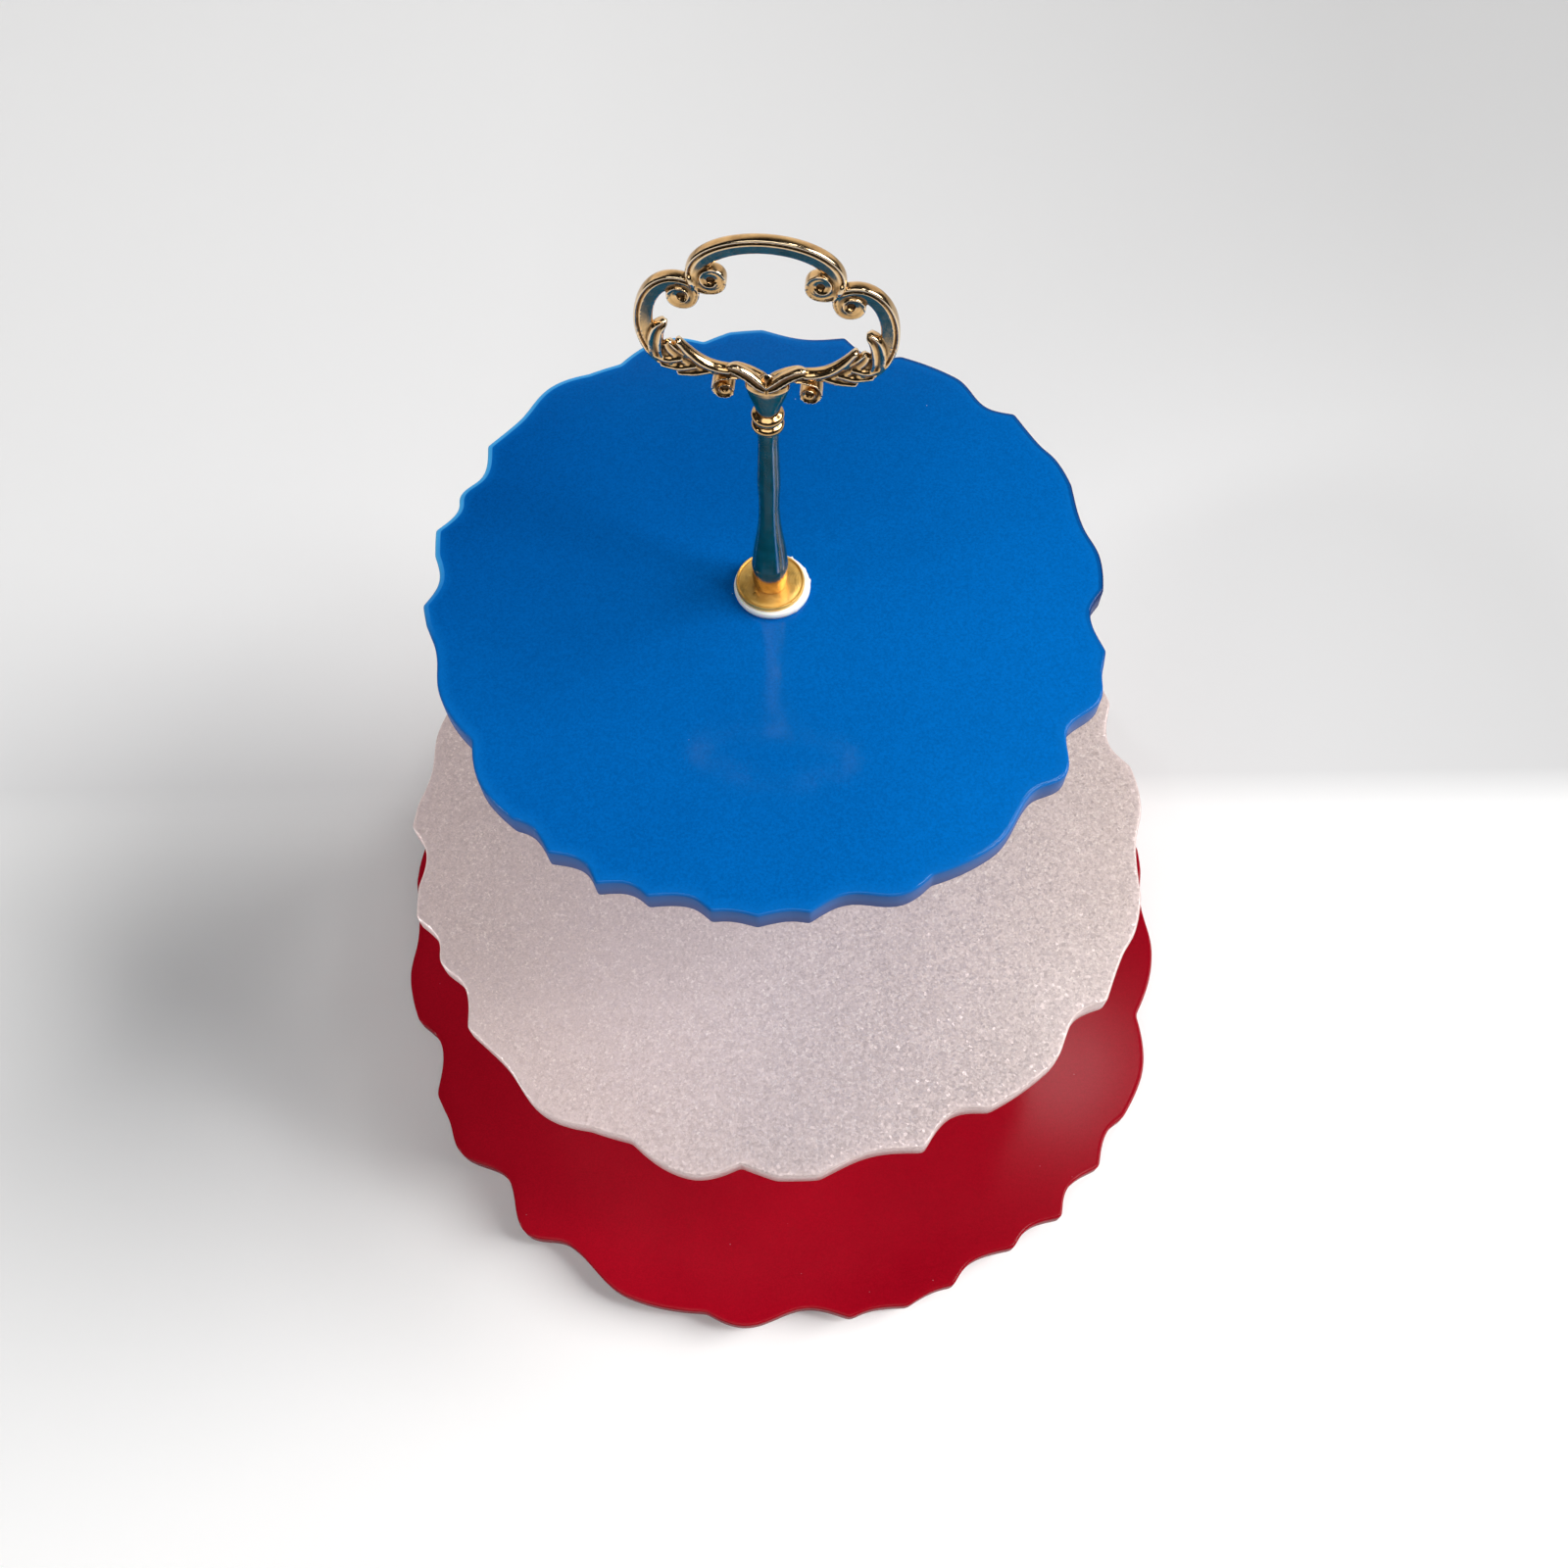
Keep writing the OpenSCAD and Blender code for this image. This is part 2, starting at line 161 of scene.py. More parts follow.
# ---- Materials --------------------------------------------------------------
class Nodes:
    """A short way to write a node tree."""

    def __init__(self, name):
        self.material = bpy.data.materials.new(name)
        self.material.use_nodes = True
        self.tree = self.material.node_tree
        self.tree.nodes.clear()
        surface = self.add("ShaderNodeOutputMaterial").inputs[0]
        self.bsdf = self.add("ShaderNodeBsdfPrincipled")
        self.link(self.bsdf.outputs[0], surface)
        self.coord = self.add("ShaderNodeTexCoord").outputs["Object"]

    def add(self, kind, **props):
        node = self.tree.nodes.new(kind)
        for key, value in props.items():
            setattr(node, key, value)
        return node

    def link(self, a, b):
        self.tree.links.new(a, b)

    def set(self, **values):
        for key, value in values.items():
            socket = self.bsdf.inputs[key.replace("_", " ")]
            if hasattr(value, "links"):
                self.link(value, socket)
            else:
                socket.default_value = value

    def scaled(self, x, y, z):
        node = self.add("ShaderNodeMapping")
        node.inputs["Scale"].default_value = (x, y, z)
        self.link(self.coord, node.inputs[0])
        return node.outputs[0]

    def noise(self, scale, detail, rough=0.5, vector=None):
        node = self.add("ShaderNodeTexNoise")
        node.inputs["Scale"].default_value = scale
        node.inputs["Detail"].default_value = detail
        node.inputs["Roughness"].default_value = rough
        self.link(vector or self.coord, node.inputs["Vector"])
        return node.outputs["Fac"]

    def cells(self, scale, colour=True):
        node = self.add("ShaderNodeTexVoronoi", feature="F1")
        node.inputs["Scale"].default_value = scale
        node.inputs["Randomness"].default_value = 1.0
        self.link(self.coord, node.inputs["Vector"])
        return node.outputs["Color" if colour else "Distance"]

    def ramp(self, fac, *stops):
        """Stops are (position, grey or colour)."""
        node = self.add("ShaderNodeValToRGB")
        ramp = node.color_ramp
        while len(ramp.elements) < len(stops):
            ramp.elements.new(0.5)
        for element, (at, value) in zip(ramp.elements, stops):
            element.position = at
            element.color = (value, value, value, 1) if np.isscalar(value) else (*value, 1)
        self.link(fac, node.inputs[0])
        return node.outputs[0]

    def mix(self, fac, a, b, blend="MIX"):
        node = self.add("ShaderNodeMix", data_type="RGBA", blend_type=blend)
        for socket, value in ((node.inputs[0], fac), (node.inputs[6], a), (node.inputs[7], b)):
            if hasattr(value, "links"):
                self.link(value, socket)
            elif np.isscalar(value):
                socket.default_value = value
            else:
                socket.default_value = (*value, 1)
        return node.outputs[2]

    def math(self, how, a, b=0.0, clamp=False):
        node = self.add("ShaderNodeMath", operation=how, use_clamp=clamp)
        for socket, value in zip(node.inputs, (a, b)):
            if hasattr(value, "links"):
                self.link(value, socket)
            else:
                socket.default_value = value
        return node.outputs[0]

    def times(self, a, b):
        return self.math("MULTIPLY", a, b)

    def split(self, kind, value):
        """The outputs of a node that separates a colour or a vector."""
        node = self.add(kind)
        self.link(value, node.inputs[0])
        return node.outputs

    def attribute(self, name):
        return self.add("ShaderNodeAttribute", attribute_name=name).outputs["Fac"]

    def bump(self, height, distance, strength=1.0, normal=None):
        node = self.add("ShaderNodeBump")
        node.inputs["Strength"].default_value = strength
        node.inputs["Distance"].default_value = distance
        self.link(height, node.inputs["Height"])
        if normal:
            self.link(normal, node.inputs["Normal"])
        return node.outputs[0]

    def flake_normal(self, colour, tilt):
        """The surface normal, tilted to a side that each flake's colour gives."""
        vec = self.add("ShaderNodeVectorMath", operation="SUBTRACT")
        self.link(colour, vec.inputs[0])
        vec.inputs[1].default_value = (0.5, 0.5, 0.5)
        scale = self.add("ShaderNodeVectorMath", operation="SCALE")
        self.link(vec.outputs[0], scale.inputs[0])
        scale.inputs["Scale"].default_value = tilt
        total = self.add("ShaderNodeVectorMath", operation="ADD")
        self.link(scale.outputs[0], total.inputs[0])
        self.link(self.add("ShaderNodeNewGeometry").outputs["Normal"], total.inputs[1])
        unit = self.add("ShaderNodeVectorMath", operation="NORMALIZE")
        self.link(total.outputs[0], unit.inputs[0])
        return unit.outputs[0]


def towards(m, way):
    """How far a point lies out along way: metres, times the length of way."""
    dot = m.add("ShaderNodeVectorMath", operation="DOT_PRODUCT")
    m.link(m.coord, dot.inputs[0])
    dot.inputs[1].default_value = way
    return dot.outputs["Value"]


def edge_tone(m, body, rim, sides, painted_rim_light=False):
    """Lay the rim of the face, and the tones of the board's edge from top to foot, over body.

    The tones towards the foot are painted shade, tinted by a painted reflection of what lies
    below.
    With painted rim light asked for, the edge also gets painted shade to the right and back and a
    painted pale highlight to the left and back."""
    round_over, side = m.attribute("rim"), m.attribute("side")
    body = m.mix(round_over, body, rim)
    tone = m.ramp(side, (0.1, sides[0]), (0.5, sides[1]), (0.8, sides[2]), (1.0, sides[3]))
    uneven = m.mix(m.noise(220, 3), tone, sides[1])
    tone = m.mix(0.35, tone, uneven)
    if painted_rim_light:
        # Painted light: deep is painted shade on the edge to the right and back, the next ramp a
        # painted highlight to the left and back
        deep = m.ramp(m.times(towards(m, (1, 0.7, 0)), 5), (0.3, 0.0), (0.45, 1.0))
        painted_pale_side = m.ramp(m.times(towards(m, (-0.7, 0.7, 0)), 5), (0.28, 0.0), (0.42, 1.0))
        tone = m.mix(1.0, tone, m.mix(deep, (1, 1, 1), (0.6, 0.3, 0.35)), "MULTIPLY")
        tone = m.mix(1.0, tone, m.mix(painted_pale_side, (1, 1, 1), (3.2, 2.2, 1.5)), "MULTIPLY")
    body = m.mix(m.ramp(side, (0.02, 0.0), (0.35, 0.92)), body, tone)
    if painted_rim_light:
        # A pale cyan highlight and a dark navy shade painted on the rounded lip
        lip = m.ramp(round_over, (0.40, 0.0), (0.52, 1.0))
        body = m.mix(m.times(m.times(lip, painted_pale_side), 0.8), body, (0.10, 0.55, 0.98))
        body = m.mix(m.times(m.times(lip, deep), 0.9), body, (0.001, 0.012, 0.08))
    return body


def clear_face(m):
    """Long low waves in a poured and polished face."""
    return m.bump(m.noise(14, 2), 0.0004, 0.25)


def resin(name, deep, light, rim, sides, coat, coat_rough, start, painted_light_drift, painted_rim_light=False):
    """Cast resin with a polished face: cloudy pigment with tiny specks.

    The pigment goes from deep (0) to light (1). start is its share at the column, where the
    clouds are thinnest. The drift vector, what each metre along x, y and z adds to it, is painted
    light and shade: it makes the board lighter on one side and darker on the other."""
    m = Nodes(name)
    cloud = m.ramp(m.noise(9, 4, 0.55), (0.3, 0.0), (0.7, 1.0))
    cloud = m.math("ADD", m.times(cloud, 0.3), start)
    # Painted light: the pigment slopes lighter across the board towards one side
    cloud = m.math("ADD", cloud, towards(m, painted_light_drift), clamp=True)
    streak = m.noise(1, 3, 0.6, vector=m.scaled(260, 900, 500))
    body = m.mix(cloud, deep, light)
    body = m.mix(m.times(streak, 0.2), body, light)
    powder = m.ramp(m.noise(1500, 2, 0.7), (0.35, 0.86), (0.65, 1.12))
    body = m.mix(1.0, body, powder, "MULTIPLY")
    speck = m.ramp(m.cells(95, colour=False), (0.0, 1.0), (0.022, 0.0))
    body = m.mix(m.times(speck, 0.6), body, (0.75, 0.85, 0.95))
    body = edge_tone(m, body, rim, sides, painted_rim_light)
    m.set(Base_Color=body, Roughness=m.ramp(m.noise(60, 4), (0.3, 0.42), (0.7, 0.55)))
    m.set(Normal=m.bump(m.noise(1400, 2), 0.00002, 0.4))
    scuffs = m.noise(1, 2, vector=m.scaled(2500, 120, 900))
    scuffs = m.bump(scuffs, 0.000004, 0.5, clear_face(m))
    m.set(Coat_Weight=coat, Coat_Roughness=coat_rough, Coat_IOR=1.5, Coat_Normal=scuffs)
    m.set(Specular_IOR_Level=0.0)
    return m.material


def pearl():
    """White resin full of fine mica flakes, under a clear face."""
    m = Nodes("pearl_resin")
    flakes = m.cells(1150)
    fine = m.split("ShaderNodeSeparateColor", m.cells(2300))
    coarse = m.split("ShaderNodeSeparateColor", flakes)
    grain = m.math("ADD", m.times(fine[0], 0.5), m.times(coarse[1], 0.5))
    tone = m.ramp(grain, (0.12, (0.43, 0.35, 0.34)), (0.45, (0.54, 0.445, 0.43)),
                  (0.75, (0.61, 0.51, 0.49)), (0.95, (0.80, 0.71, 0.67)))
    cloud = m.ramp(m.noise(11, 4, 0.6), (0.3, 0.0), (0.7, 1.0))
    tone = m.mix(m.times(cloud, 0.35), tone, (0.66, 0.545, 0.54))
    x = m.split("ShaderNodeSeparateXYZ", m.coord)[0]
    across = m.math("ADD", m.times(x, 3.0), 0.5)     # 0 to 1 over a third of a metre
    # Painted light and shade: the board is made lighter to the left and a little darker in the
    # middle
    painted_light_drift = m.ramp(across, (0.05, (1.24, 1.18, 1.15)), (0.28, (1.12, 1.08, 1.06)),
                   (0.5, (0.94, 0.94, 0.95)), (0.72, (0.95, 0.94, 0.93)),
                   (0.97, (1.05, 1.02, 0.97)))
    tone = m.mix(1.0, tone, painted_light_drift, "MULTIPLY")
    # Towards the foot the edge is painted pink, a painted reflection of the red board below, and
    # darker as painted shade
    sides = ((0.64, 0.51, 0.49), (0.60, 0.41, 0.40), (0.56, 0.29, 0.29), (0.5, 0.15, 0.16))
    tone = edge_tone(m, tone, (0.66, 0.53, 0.51), sides)
    m.set(Base_Color=tone, Metallic=0.12)
    m.set(Roughness=m.ramp(coarse[2], (0.2, 0.3), (0.9, 0.55)))
    m.set(Normal=m.flake_normal(flakes, 0.35))
    m.set(Coat_Weight=0.5, Coat_Roughness=0.2, Coat_IOR=1.5, Coat_Normal=clear_face(m))
    return m.material


TURNED_MARKS = 0.42     # mm from one turned mark on a washer to the next


def gold(name, dark, light, rough, grain, turned=False):
    """Plated metal.

    The cavity value darkens hollows with patina and makes raised edges paler, partly worn plating
    and partly a painted highlight. The streak value is where pale streaks are painted on, duller,
    as painted reflections. Both are 0 on a piece that doesn't carry them."""
    m = Nodes(name)
    cavity, streak = m.attribute("cavity"), m.attribute("streak")
    tint = m.mix(m.ramp(m.noise(350, 4), (0.35, 0.0), (0.7, 1.0)), dark, light)
    hollow = m.ramp(cavity, (0.08, 0.0), (0.75, 1.0))
    tint = m.mix(m.times(hollow, 0.92), tint, (0.06, 0.03, 0.014))
    # Raised edges paler: partly worn plating, partly a painted highlight
    wear_and_highlight = m.ramp(m.times(cavity, -1.0), (0.15, 0.0), (0.9, 1.0))
    tint = m.mix(m.times(wear_and_highlight, 0.5), tint, (1.0, 0.88, 0.66))
    # Painted reflection: pale streaks down the stem
    tint = m.mix(streak, tint, (1.0, 0.93, 0.76))
    m.set(Base_Color=tint, Metallic=1.0)
    spread = m.ramp(m.noise(900, 5, 0.6), (0.3, rough * 0.8), (0.75, rough * 1.5))
    spread = m.mix(m.times(hollow, 0.7), spread, (0.5, 0.5, 0.5))
    spread = m.mix(streak, spread, (0.42, 0.42, 0.42))
    m.set(Roughness=spread)
    bump = m.bump(m.noise(2600, 4, 0.65), grain)
    if turned:
        ridges = m.math("SINE", m.times(m.attribute("radius"), 2 * math.pi / TURNED_MARKS))
        bump = m.bump(m.times(ridges, m.noise(240, 2)), 0.00005, 0.6, bump)
    m.set(Normal=bump)
    return m.material


def plain(name, dark, light, rough, grain_scale, grain, metallic=0.0, **more):
    """A surface of one tone, a little uneven, with a fine grain of the height given."""
    m = Nodes(name)
    tone = m.ramp(m.noise(grain_scale / 12, 4), (0.3, dark), (0.7, light))
    m.set(Base_Color=tone, Metallic=metallic, **more)
    m.set(Roughness=m.ramp(m.noise(grain_scale / 5, 3), (0.3, rough * 0.8), (0.7, rough * 1.25)))
    m.set(Normal=m.bump(m.noise(grain_scale, 3), grain))
    return m.material


# Red: the drift paints light onto the left and front of the board, and the edge darkens towards
# its foot as painted shade
RED = resin("red_resin", (0.25, 0.0006, 0.0075), (0.56, 0.007, 0.023), rim=(0.35, 0.001, 0.010),
            sides=((0.31, 0.003, 0.011), (0.27, 0.008, 0.018), (0.22, 0.02, 0.03),
                   (0.12, 0.015, 0.02)),
            coat=0.28, coat_rough=0.17, start=-0.05, painted_light_drift=(-3.5, -0.4, 0))
# Blue: the drift paints it lighter to the right and front, and the pale rim is a painted
# highlight. The sides turn violet and dark towards the foot as a painted reflection of the pearl
# board and painted shade, and the edge takes painted rim light.
BLUE = resin("blue_resin", (0.0003, 0.062, 0.26), (0.0005, 0.135, 0.485), rim=(0.003, 0.14, 0.48),
             sides=((0.010, 0.12, 0.38), (0.040, 0.12, 0.36), (0.070, 0.10, 0.27),
                    (0.04, 0.05, 0.13)),
             coat=0.25, coat_rough=0.11, start=0.33, painted_light_drift=(2.9, -2.6, 0), painted_rim_light=True)
PEARL = pearl()
GOLD = gold("gold_polished", (0.52, 0.31, 0.13), (0.74, 0.475, 0.215), rough=0.13, grain=0.000005)
GOLD_TURNED = gold("gold_turned", (0.88, 0.53, 0.13), (0.95, 0.63, 0.20), rough=0.34,
                   grain=0.00003, turned=True)
STEEL = plain("steel", (0.42, 0.43, 0.45), (0.62, 0.62, 0.63), rough=0.28, grain_scale=1800,
              grain=0.00001, metallic=1.0)
MILKY = plain("white_plastic", (0.80, 0.79, 0.78), (0.90, 0.89, 0.87), rough=0.36,
              grain_scale=1500, grain=0.00002, Subsurface_Weight=0.3, Subsurface_Scale=0.002)
RUBBER = plain("black_rubber", (0.012, 0.012, 0.013), (0.03, 0.03, 0.03), rough=0.62,
               grain_scale=2200, grain=0.00005)


# ---- Boards -----------------------------------------------------------------
NEAR_COLUMN = 20 * MM                    # the hole's points are all nearer than this
CRISP_TURN = math.radians(17)            # the outline bends by more than this at a corner
HOLE_R, CALM_R = 3.5 * MM, 13 * MM       # the hole, and the face's last ring before it
TOP_ROUND, LOW_ROUND = 0.9 * MM, 0.6 * MM


def board_outline(node, rounds):
    """The CAD board's edge in order, with smooth curves between its eased corners."""
    top = high(node).z
    data = frame["nodes"][node].data
    co = np.array([v.co for v in data.vertices if abs(v.co.z - top) < 1e-5])
    co = co[np.hypot(co[:, 0] - COLUMN.x, co[:, 1] - COLUMN.y) > NEAR_COLUMN][:, :2]
    co = np.unique(np.round(co, 7), axis=0)
    c = (co.min(0) + co.max(0)) / 2
    co = co[np.argsort(np.arctan2(co[:, 1] - c[1], co[:, 0] - c[0]))]
    after, before = np.roll(co, -1, 0) - co, co - np.roll(co, 1, 0)
    turn = np.abs((np.arctan2(after[:, 1], after[:, 0]) - np.arctan2(before[:, 1], before[:, 0])
                   + math.pi) % (2 * math.pi) - math.pi)
    crisp = turn > CRISP_TURN
    out = []
    for i in range(len(co)):
        j = (i + 1) % len(co)
        span = co[j] - co[i]
        start = span if crisp[i] else (co[j] - co[i - 1]) / 2
        end = span if crisp[j] else (co[(j + 1) % len(co)] - co[i]) / 2
        for t in (0, 0.25, 0.5, 0.75):
            h = np.array([2 * t ** 3 - 3 * t * t + 1, t ** 3 - 2 * t * t + t,
                          3 * t * t - 2 * t ** 3, t ** 3 - t * t])
            out.append(h[0] * co[i] + h[1] * start + h[2] * co[j] + h[3] * end)
    return softened(np.array(out), rounds), c


def softened(loop, rounds):
    """The closed loop with its corners eased, as they come out of a flexible mould."""
    for _ in range(rounds):
        loop = (np.roll(loop, 1, 0) + 2 * loop + np.roll(loop, -1, 0)) / 4
    return loop


def inset(loop, distance):
    """The loop moved inwards, after its corners are eased."""
    eased = softened(loop, 2)
    d = np.roll(eased, -1, 0) - np.roll(eased, 1, 0)
    normal = np.stack([-d[:, 1], d[:, 0]], 1) / np.linalg.norm(d, axis=1)[:, None]
    return eased + normal * distance


def board(name, node, material, rim_strength, rounds):
    """A board in closed rings, from the hole's foot out over the edge and back to its top.

    The rim value is rim_strength at the top of the edge and fades inwards on both faces. The
    side value is 0 on the faces, 0.33 just under the top rounding and 1 at the edge's foot."""
    loop, c = board_outline(node, rounds)
    n = len(loop)
    z0, z1 = low(node).z, high(node).z
    column = np.array([COLUMN.x, COLUMN.y])
    angles = np.arctan2(loop[:, 1] - column[1], loop[:, 0] - column[0])
    spokes = np.stack([np.cos(angles), np.sin(angles)], 1)
    hole, calm = column + HOLE_R * spokes, column + CALM_R * spokes

    # past the rounded edge the rings shrink towards the middle, so that none folds over
    lip = inset(loop, TOP_ROUND)
    flat = [(c + (lip - c) * share, rim)
            for share, rim in ((0.994, 0.75), (0.982, 0.35), (0.965, 0.0))]
    last = flat[-1][0]
    flat += [(last + (calm - last) * share, 0.0) for share in (0.12, 0.35, 0.65, 1.0)]
    rows, rims, sides = [], [], []

    def ring(points, z, rim, side=0.0):
        rows.append(np.column_stack([points, np.full(n, z)]))
        rims.append(rim)
        sides.append(side)

    ring(hole, z0, 0)
    for points, rim in reversed(flat):
        ring(points, z0, rim)
    for a in (90, 60, 30, 0):
        s = math.radians(a)
        ring(loop + (lip - loop) * 0.7 * (1 - math.cos(s)), z0 + LOW_ROUND * (1 - math.sin(s)),
             rim=0.0, side=0.85 + a / 600)
    for a in (0, 22, 45, 67, 90):
        s = math.radians(a)
        ring(loop + (lip - loop) * (1 - math.cos(s)), z1 - TOP_ROUND * (1 - math.sin(s)),
             rim=1.0 - a / 400, side=0.33 - a / 273)
    for points, rim in flat:
        ring(points, z1, rim)
    ring(hole, z1, 0)
    faces = grid_faces(len(rows), n, close_rows=True)
    obj = mesh_object(name, np.vstack(rows), faces, 50)
    point_values(obj, "rim", np.repeat(np.array(rims) * rim_strength, n))
    point_values(obj, "side", np.repeat(np.array(sides), n))
    finish_piece(obj, node, material)


board("BottomBoard", "bottom_board", RED, rim_strength=0.35, rounds=5)
board("MiddleBoard", "middle_board", PEARL, rim_strength=0.55, rounds=5)
board("TopBoard", "top_board", BLUE, rim_strength=0.6, rounds=2)


# ---- Turned and moulded parts, as (radius, height) profiles in mm -----------
def add_radius(obj):
    """Distance from the column in mm, which the turned marks follow."""
    co = np.array([v.co for v in obj.data.vertices])
    point_values(obj, "radius", np.hypot(co[:, 0] - COLUMN.x, co[:, 1] - COLUMN.y) / MM)


def washer(name, node):
    """Stamped washer: a lip at its edge, a groove inside it, a slightly dished face."""
    t = height_mm(node)
    ring = [(3.2, t - 0.1), (3.3, t - 0.05)]
    ring += [(4.4, t - 0.05), (5.0, t - 0.13), (5.6, t - 0.06), (7.4, t - 0.16), (8.7, t - 0.2)]
    ring += [(9.05, t - 0.34), (9.25, t - 0.34), (9.4, t - 0.12), (9.55, t - 0.02), (9.75, t)]
    ring += [(9.93, t - 0.1), (10, t - 0.3), (9.96, t * 0.5), (10, 0.25)]
    ring += [(9.8, 0), (3.4, 0), (3.2, 0.15)]
    verts, faces = lathe(ring, 128, at_column(low(node).z), closed=True)
    obj = mesh_object(name, verts, faces[::-1], 40)
    add_radius(obj)
    finish_piece(obj, node, GOLD_TURNED)


# Torn flash on a pad: angle in radians, size in mm, half width in radians
BURRS = [(0.12, 0.35, 0.035), (0.5, 0.3, 0.03), (1.0, 0.38, 0.03), (-0.9, 0.14, 0.06)]


def pad(name, node, shift):
    """Moulded plastic pad that sits shift mm off centre, with torn flash on its edge."""
    t = height_mm(node)
    ring = [(4.1, 0.1), (4.1, t - 0.2), (4.4, t)]
    ring += [(10.3, t), (10.75, t - 0.12), (11.05, t - 0.45), (11.12, t - 1.0)]
    ring += [(11.2, t - 1.15), (11.12, t - 1.3), (11.1, 0.5), (10.9, 0.12), (10.5, 0), (4.3, 0)]
    verts, faces = lathe(ring, 144, closed=True)
    co = verts / MM
    angle = np.arctan2(co[:, 1], co[:, 0])
    outer = np.hypot(co[:, 0], co[:, 1]) > 10.6
    for at, size, width in BURRS:
        away = (angle - at + math.pi) % (2 * math.pi) - math.pi
        grow = np.exp(-(away / width) ** 2) * size * outer
        co[:, 0] += np.cos(angle) * grow
        co[:, 1] += np.sin(angle) * grow
        co[:, 2] += grow * 0.5 * (co[:, 2] > t * 0.5)
    co[:, 0] += shift
    obj = mesh_object(name, co * MM + np.array(at_column(low(node).z)), faces, 40)
    finish_piece(obj, node, MILKY)


for name, node in (("LowerWasher", "lower_washer"), ("MiddleWasher", "middle_washer"),
                   ("TopWasher", "top_washer")):
    washer(name, node)
for name, node, shift in (("BaseLowerPad", "bottom_lower_pad", 0.2),
                          ("BaseUpperPad", "bottom_upper_pad", -0.3),
                          ("MiddleLowerPad", "middle_lower_pad", 0.25),
                          ("MiddleUpperPad", "middle_upper_pad", 0.4),
                          ("TopLowerPad", "top_lower_pad", -0.2),
                          ("TopUpperPad", "top_upper_pad", 0.55)):
    pad(name, node, shift)


def stem_rows(waist_z, bulge_z, neck_z, collars):
    """Profile of a stem from its foot to the top of its last collar."""
    rows = [(4.45, 0), (4.75, 0.12), (4.98, 0.5), (5.1, 1.2), (5.17, 2.5), (5.2, 5), (5.2, 9.2),
            (5.16, 9.45), (5.04, 9.6)]
    taper = spline([(5.04, 9.6), (4.93, 12), (4.62, 15.5), (4.2, 19), (3.6, 23.5),
                    (3.1, 29), (2.85, waist_z)], 5)
    shaft = spline([(2.85, waist_z), (2.9, waist_z * 0.6 + bulge_z * 0.4), (3.1, bulge_z),
                    (2.85, bulge_z * 0.45 + neck_z * 0.55), (2.65, neck_z)], 6)
    rows += [tuple(p) for p in taper[1:]] + [tuple(p) for p in shaft[1:]]
    for z in collars:
        rows.append((2.75, z - 1.5))
        rows.append((3.15, z - 1.38))
        for a in range(-75, 76, 15):
            s = math.radians(a)
            rows.append((3.0 + 1.15 * math.cos(s), z + 1.3 * math.sin(s)))
        rows.append((3.15, z + 1.38))
        rows.append((2.85, z + 1.5))
    return rows


# From the drilled end of the hole in a stem's foot out to the foot's face
FOOT_BORE = [(0, 12.2), (3.05, 11), (3.05, 0), (3.4, 0)]


def rod(name, node):
    """Turned rod: a stem, and a flared head with a hole for the stud."""
    length = height_mm(node)
    rows = FOOT_BORE + stem_rows(waist_z=35, bulge_z=length * 0.53, neck_z=length - 27.5,
                                 collars=(length - 23.6, length - 20.3))
    rows += [tuple(p) for p in spline([(2.75, length - 17.6), (2.95, length - 14),
                                       (4.2, length - 8.5), (5.6, length - 4),
                                       (6.0, length - 1.8)], 5)]
    rows += [(6.0, length - 0.4), (5.6, length), (3.2, length), (3.05, length - 0.3)]
    rows += [(3.05, length - 9), (0, length - 9)]
    verts, faces = lathe(rows, 96, at_column(low(node).z))
    finish_piece(mesh_object(name, verts, faces, 38), node, GOLD)


rod("LowerRod", "lower_rod")
rod("UpperRod", "upper_rod")


PITCH, CORE_R, THREAD_H, LEAD_IN = 1.0, 2.42, 0.56, 0.8     # an M6 thread, in mm


def thread(length, n=40, steps=8):
    """An M6 thread: a cylinder whose radius follows the helix, steps rows to each turn."""
    rows = int(length / PITCH * steps)
    verts = []
    for i in range(rows + 1):
        z = i * length / rows
        ends = min(1.0, z / LEAD_IN, (length - z) / LEAD_IN)
        for j in range(n):
            a = 2 * math.pi * j / n
            phase = (z / PITCH - j / n) % 1.0
            crest = 1 - abs(2 * phase - 1)
            r = CORE_R + THREAD_H * min(1.0, crest * 1.25) * max(ends, 0)
            verts.append((r * math.cos(a), r * math.sin(a), z))
    faces = grid_faces(rows + 1, n)
    verts += [(0, 0, 0), (0, 0, length)]
    base, top, last = len(verts) - 2, len(verts) - 1, rows * n
    faces += [(base, (j + 1) % n, j) for j in range(n)]
    faces += [(top, last + j, last + (j + 1) % n) for j in range(n)]
    return np.array(verts, float), faces


for name, node in (("LowerStud", "lower_stud"), ("UpperStud", "upper_stud")):
    verts, faces = thread(height_mm(node))
    obj = mesh_object(name, verts * MM + np.array(at_column(low(node).z)), faces, 25)
    finish_piece(obj, node, STEEL)


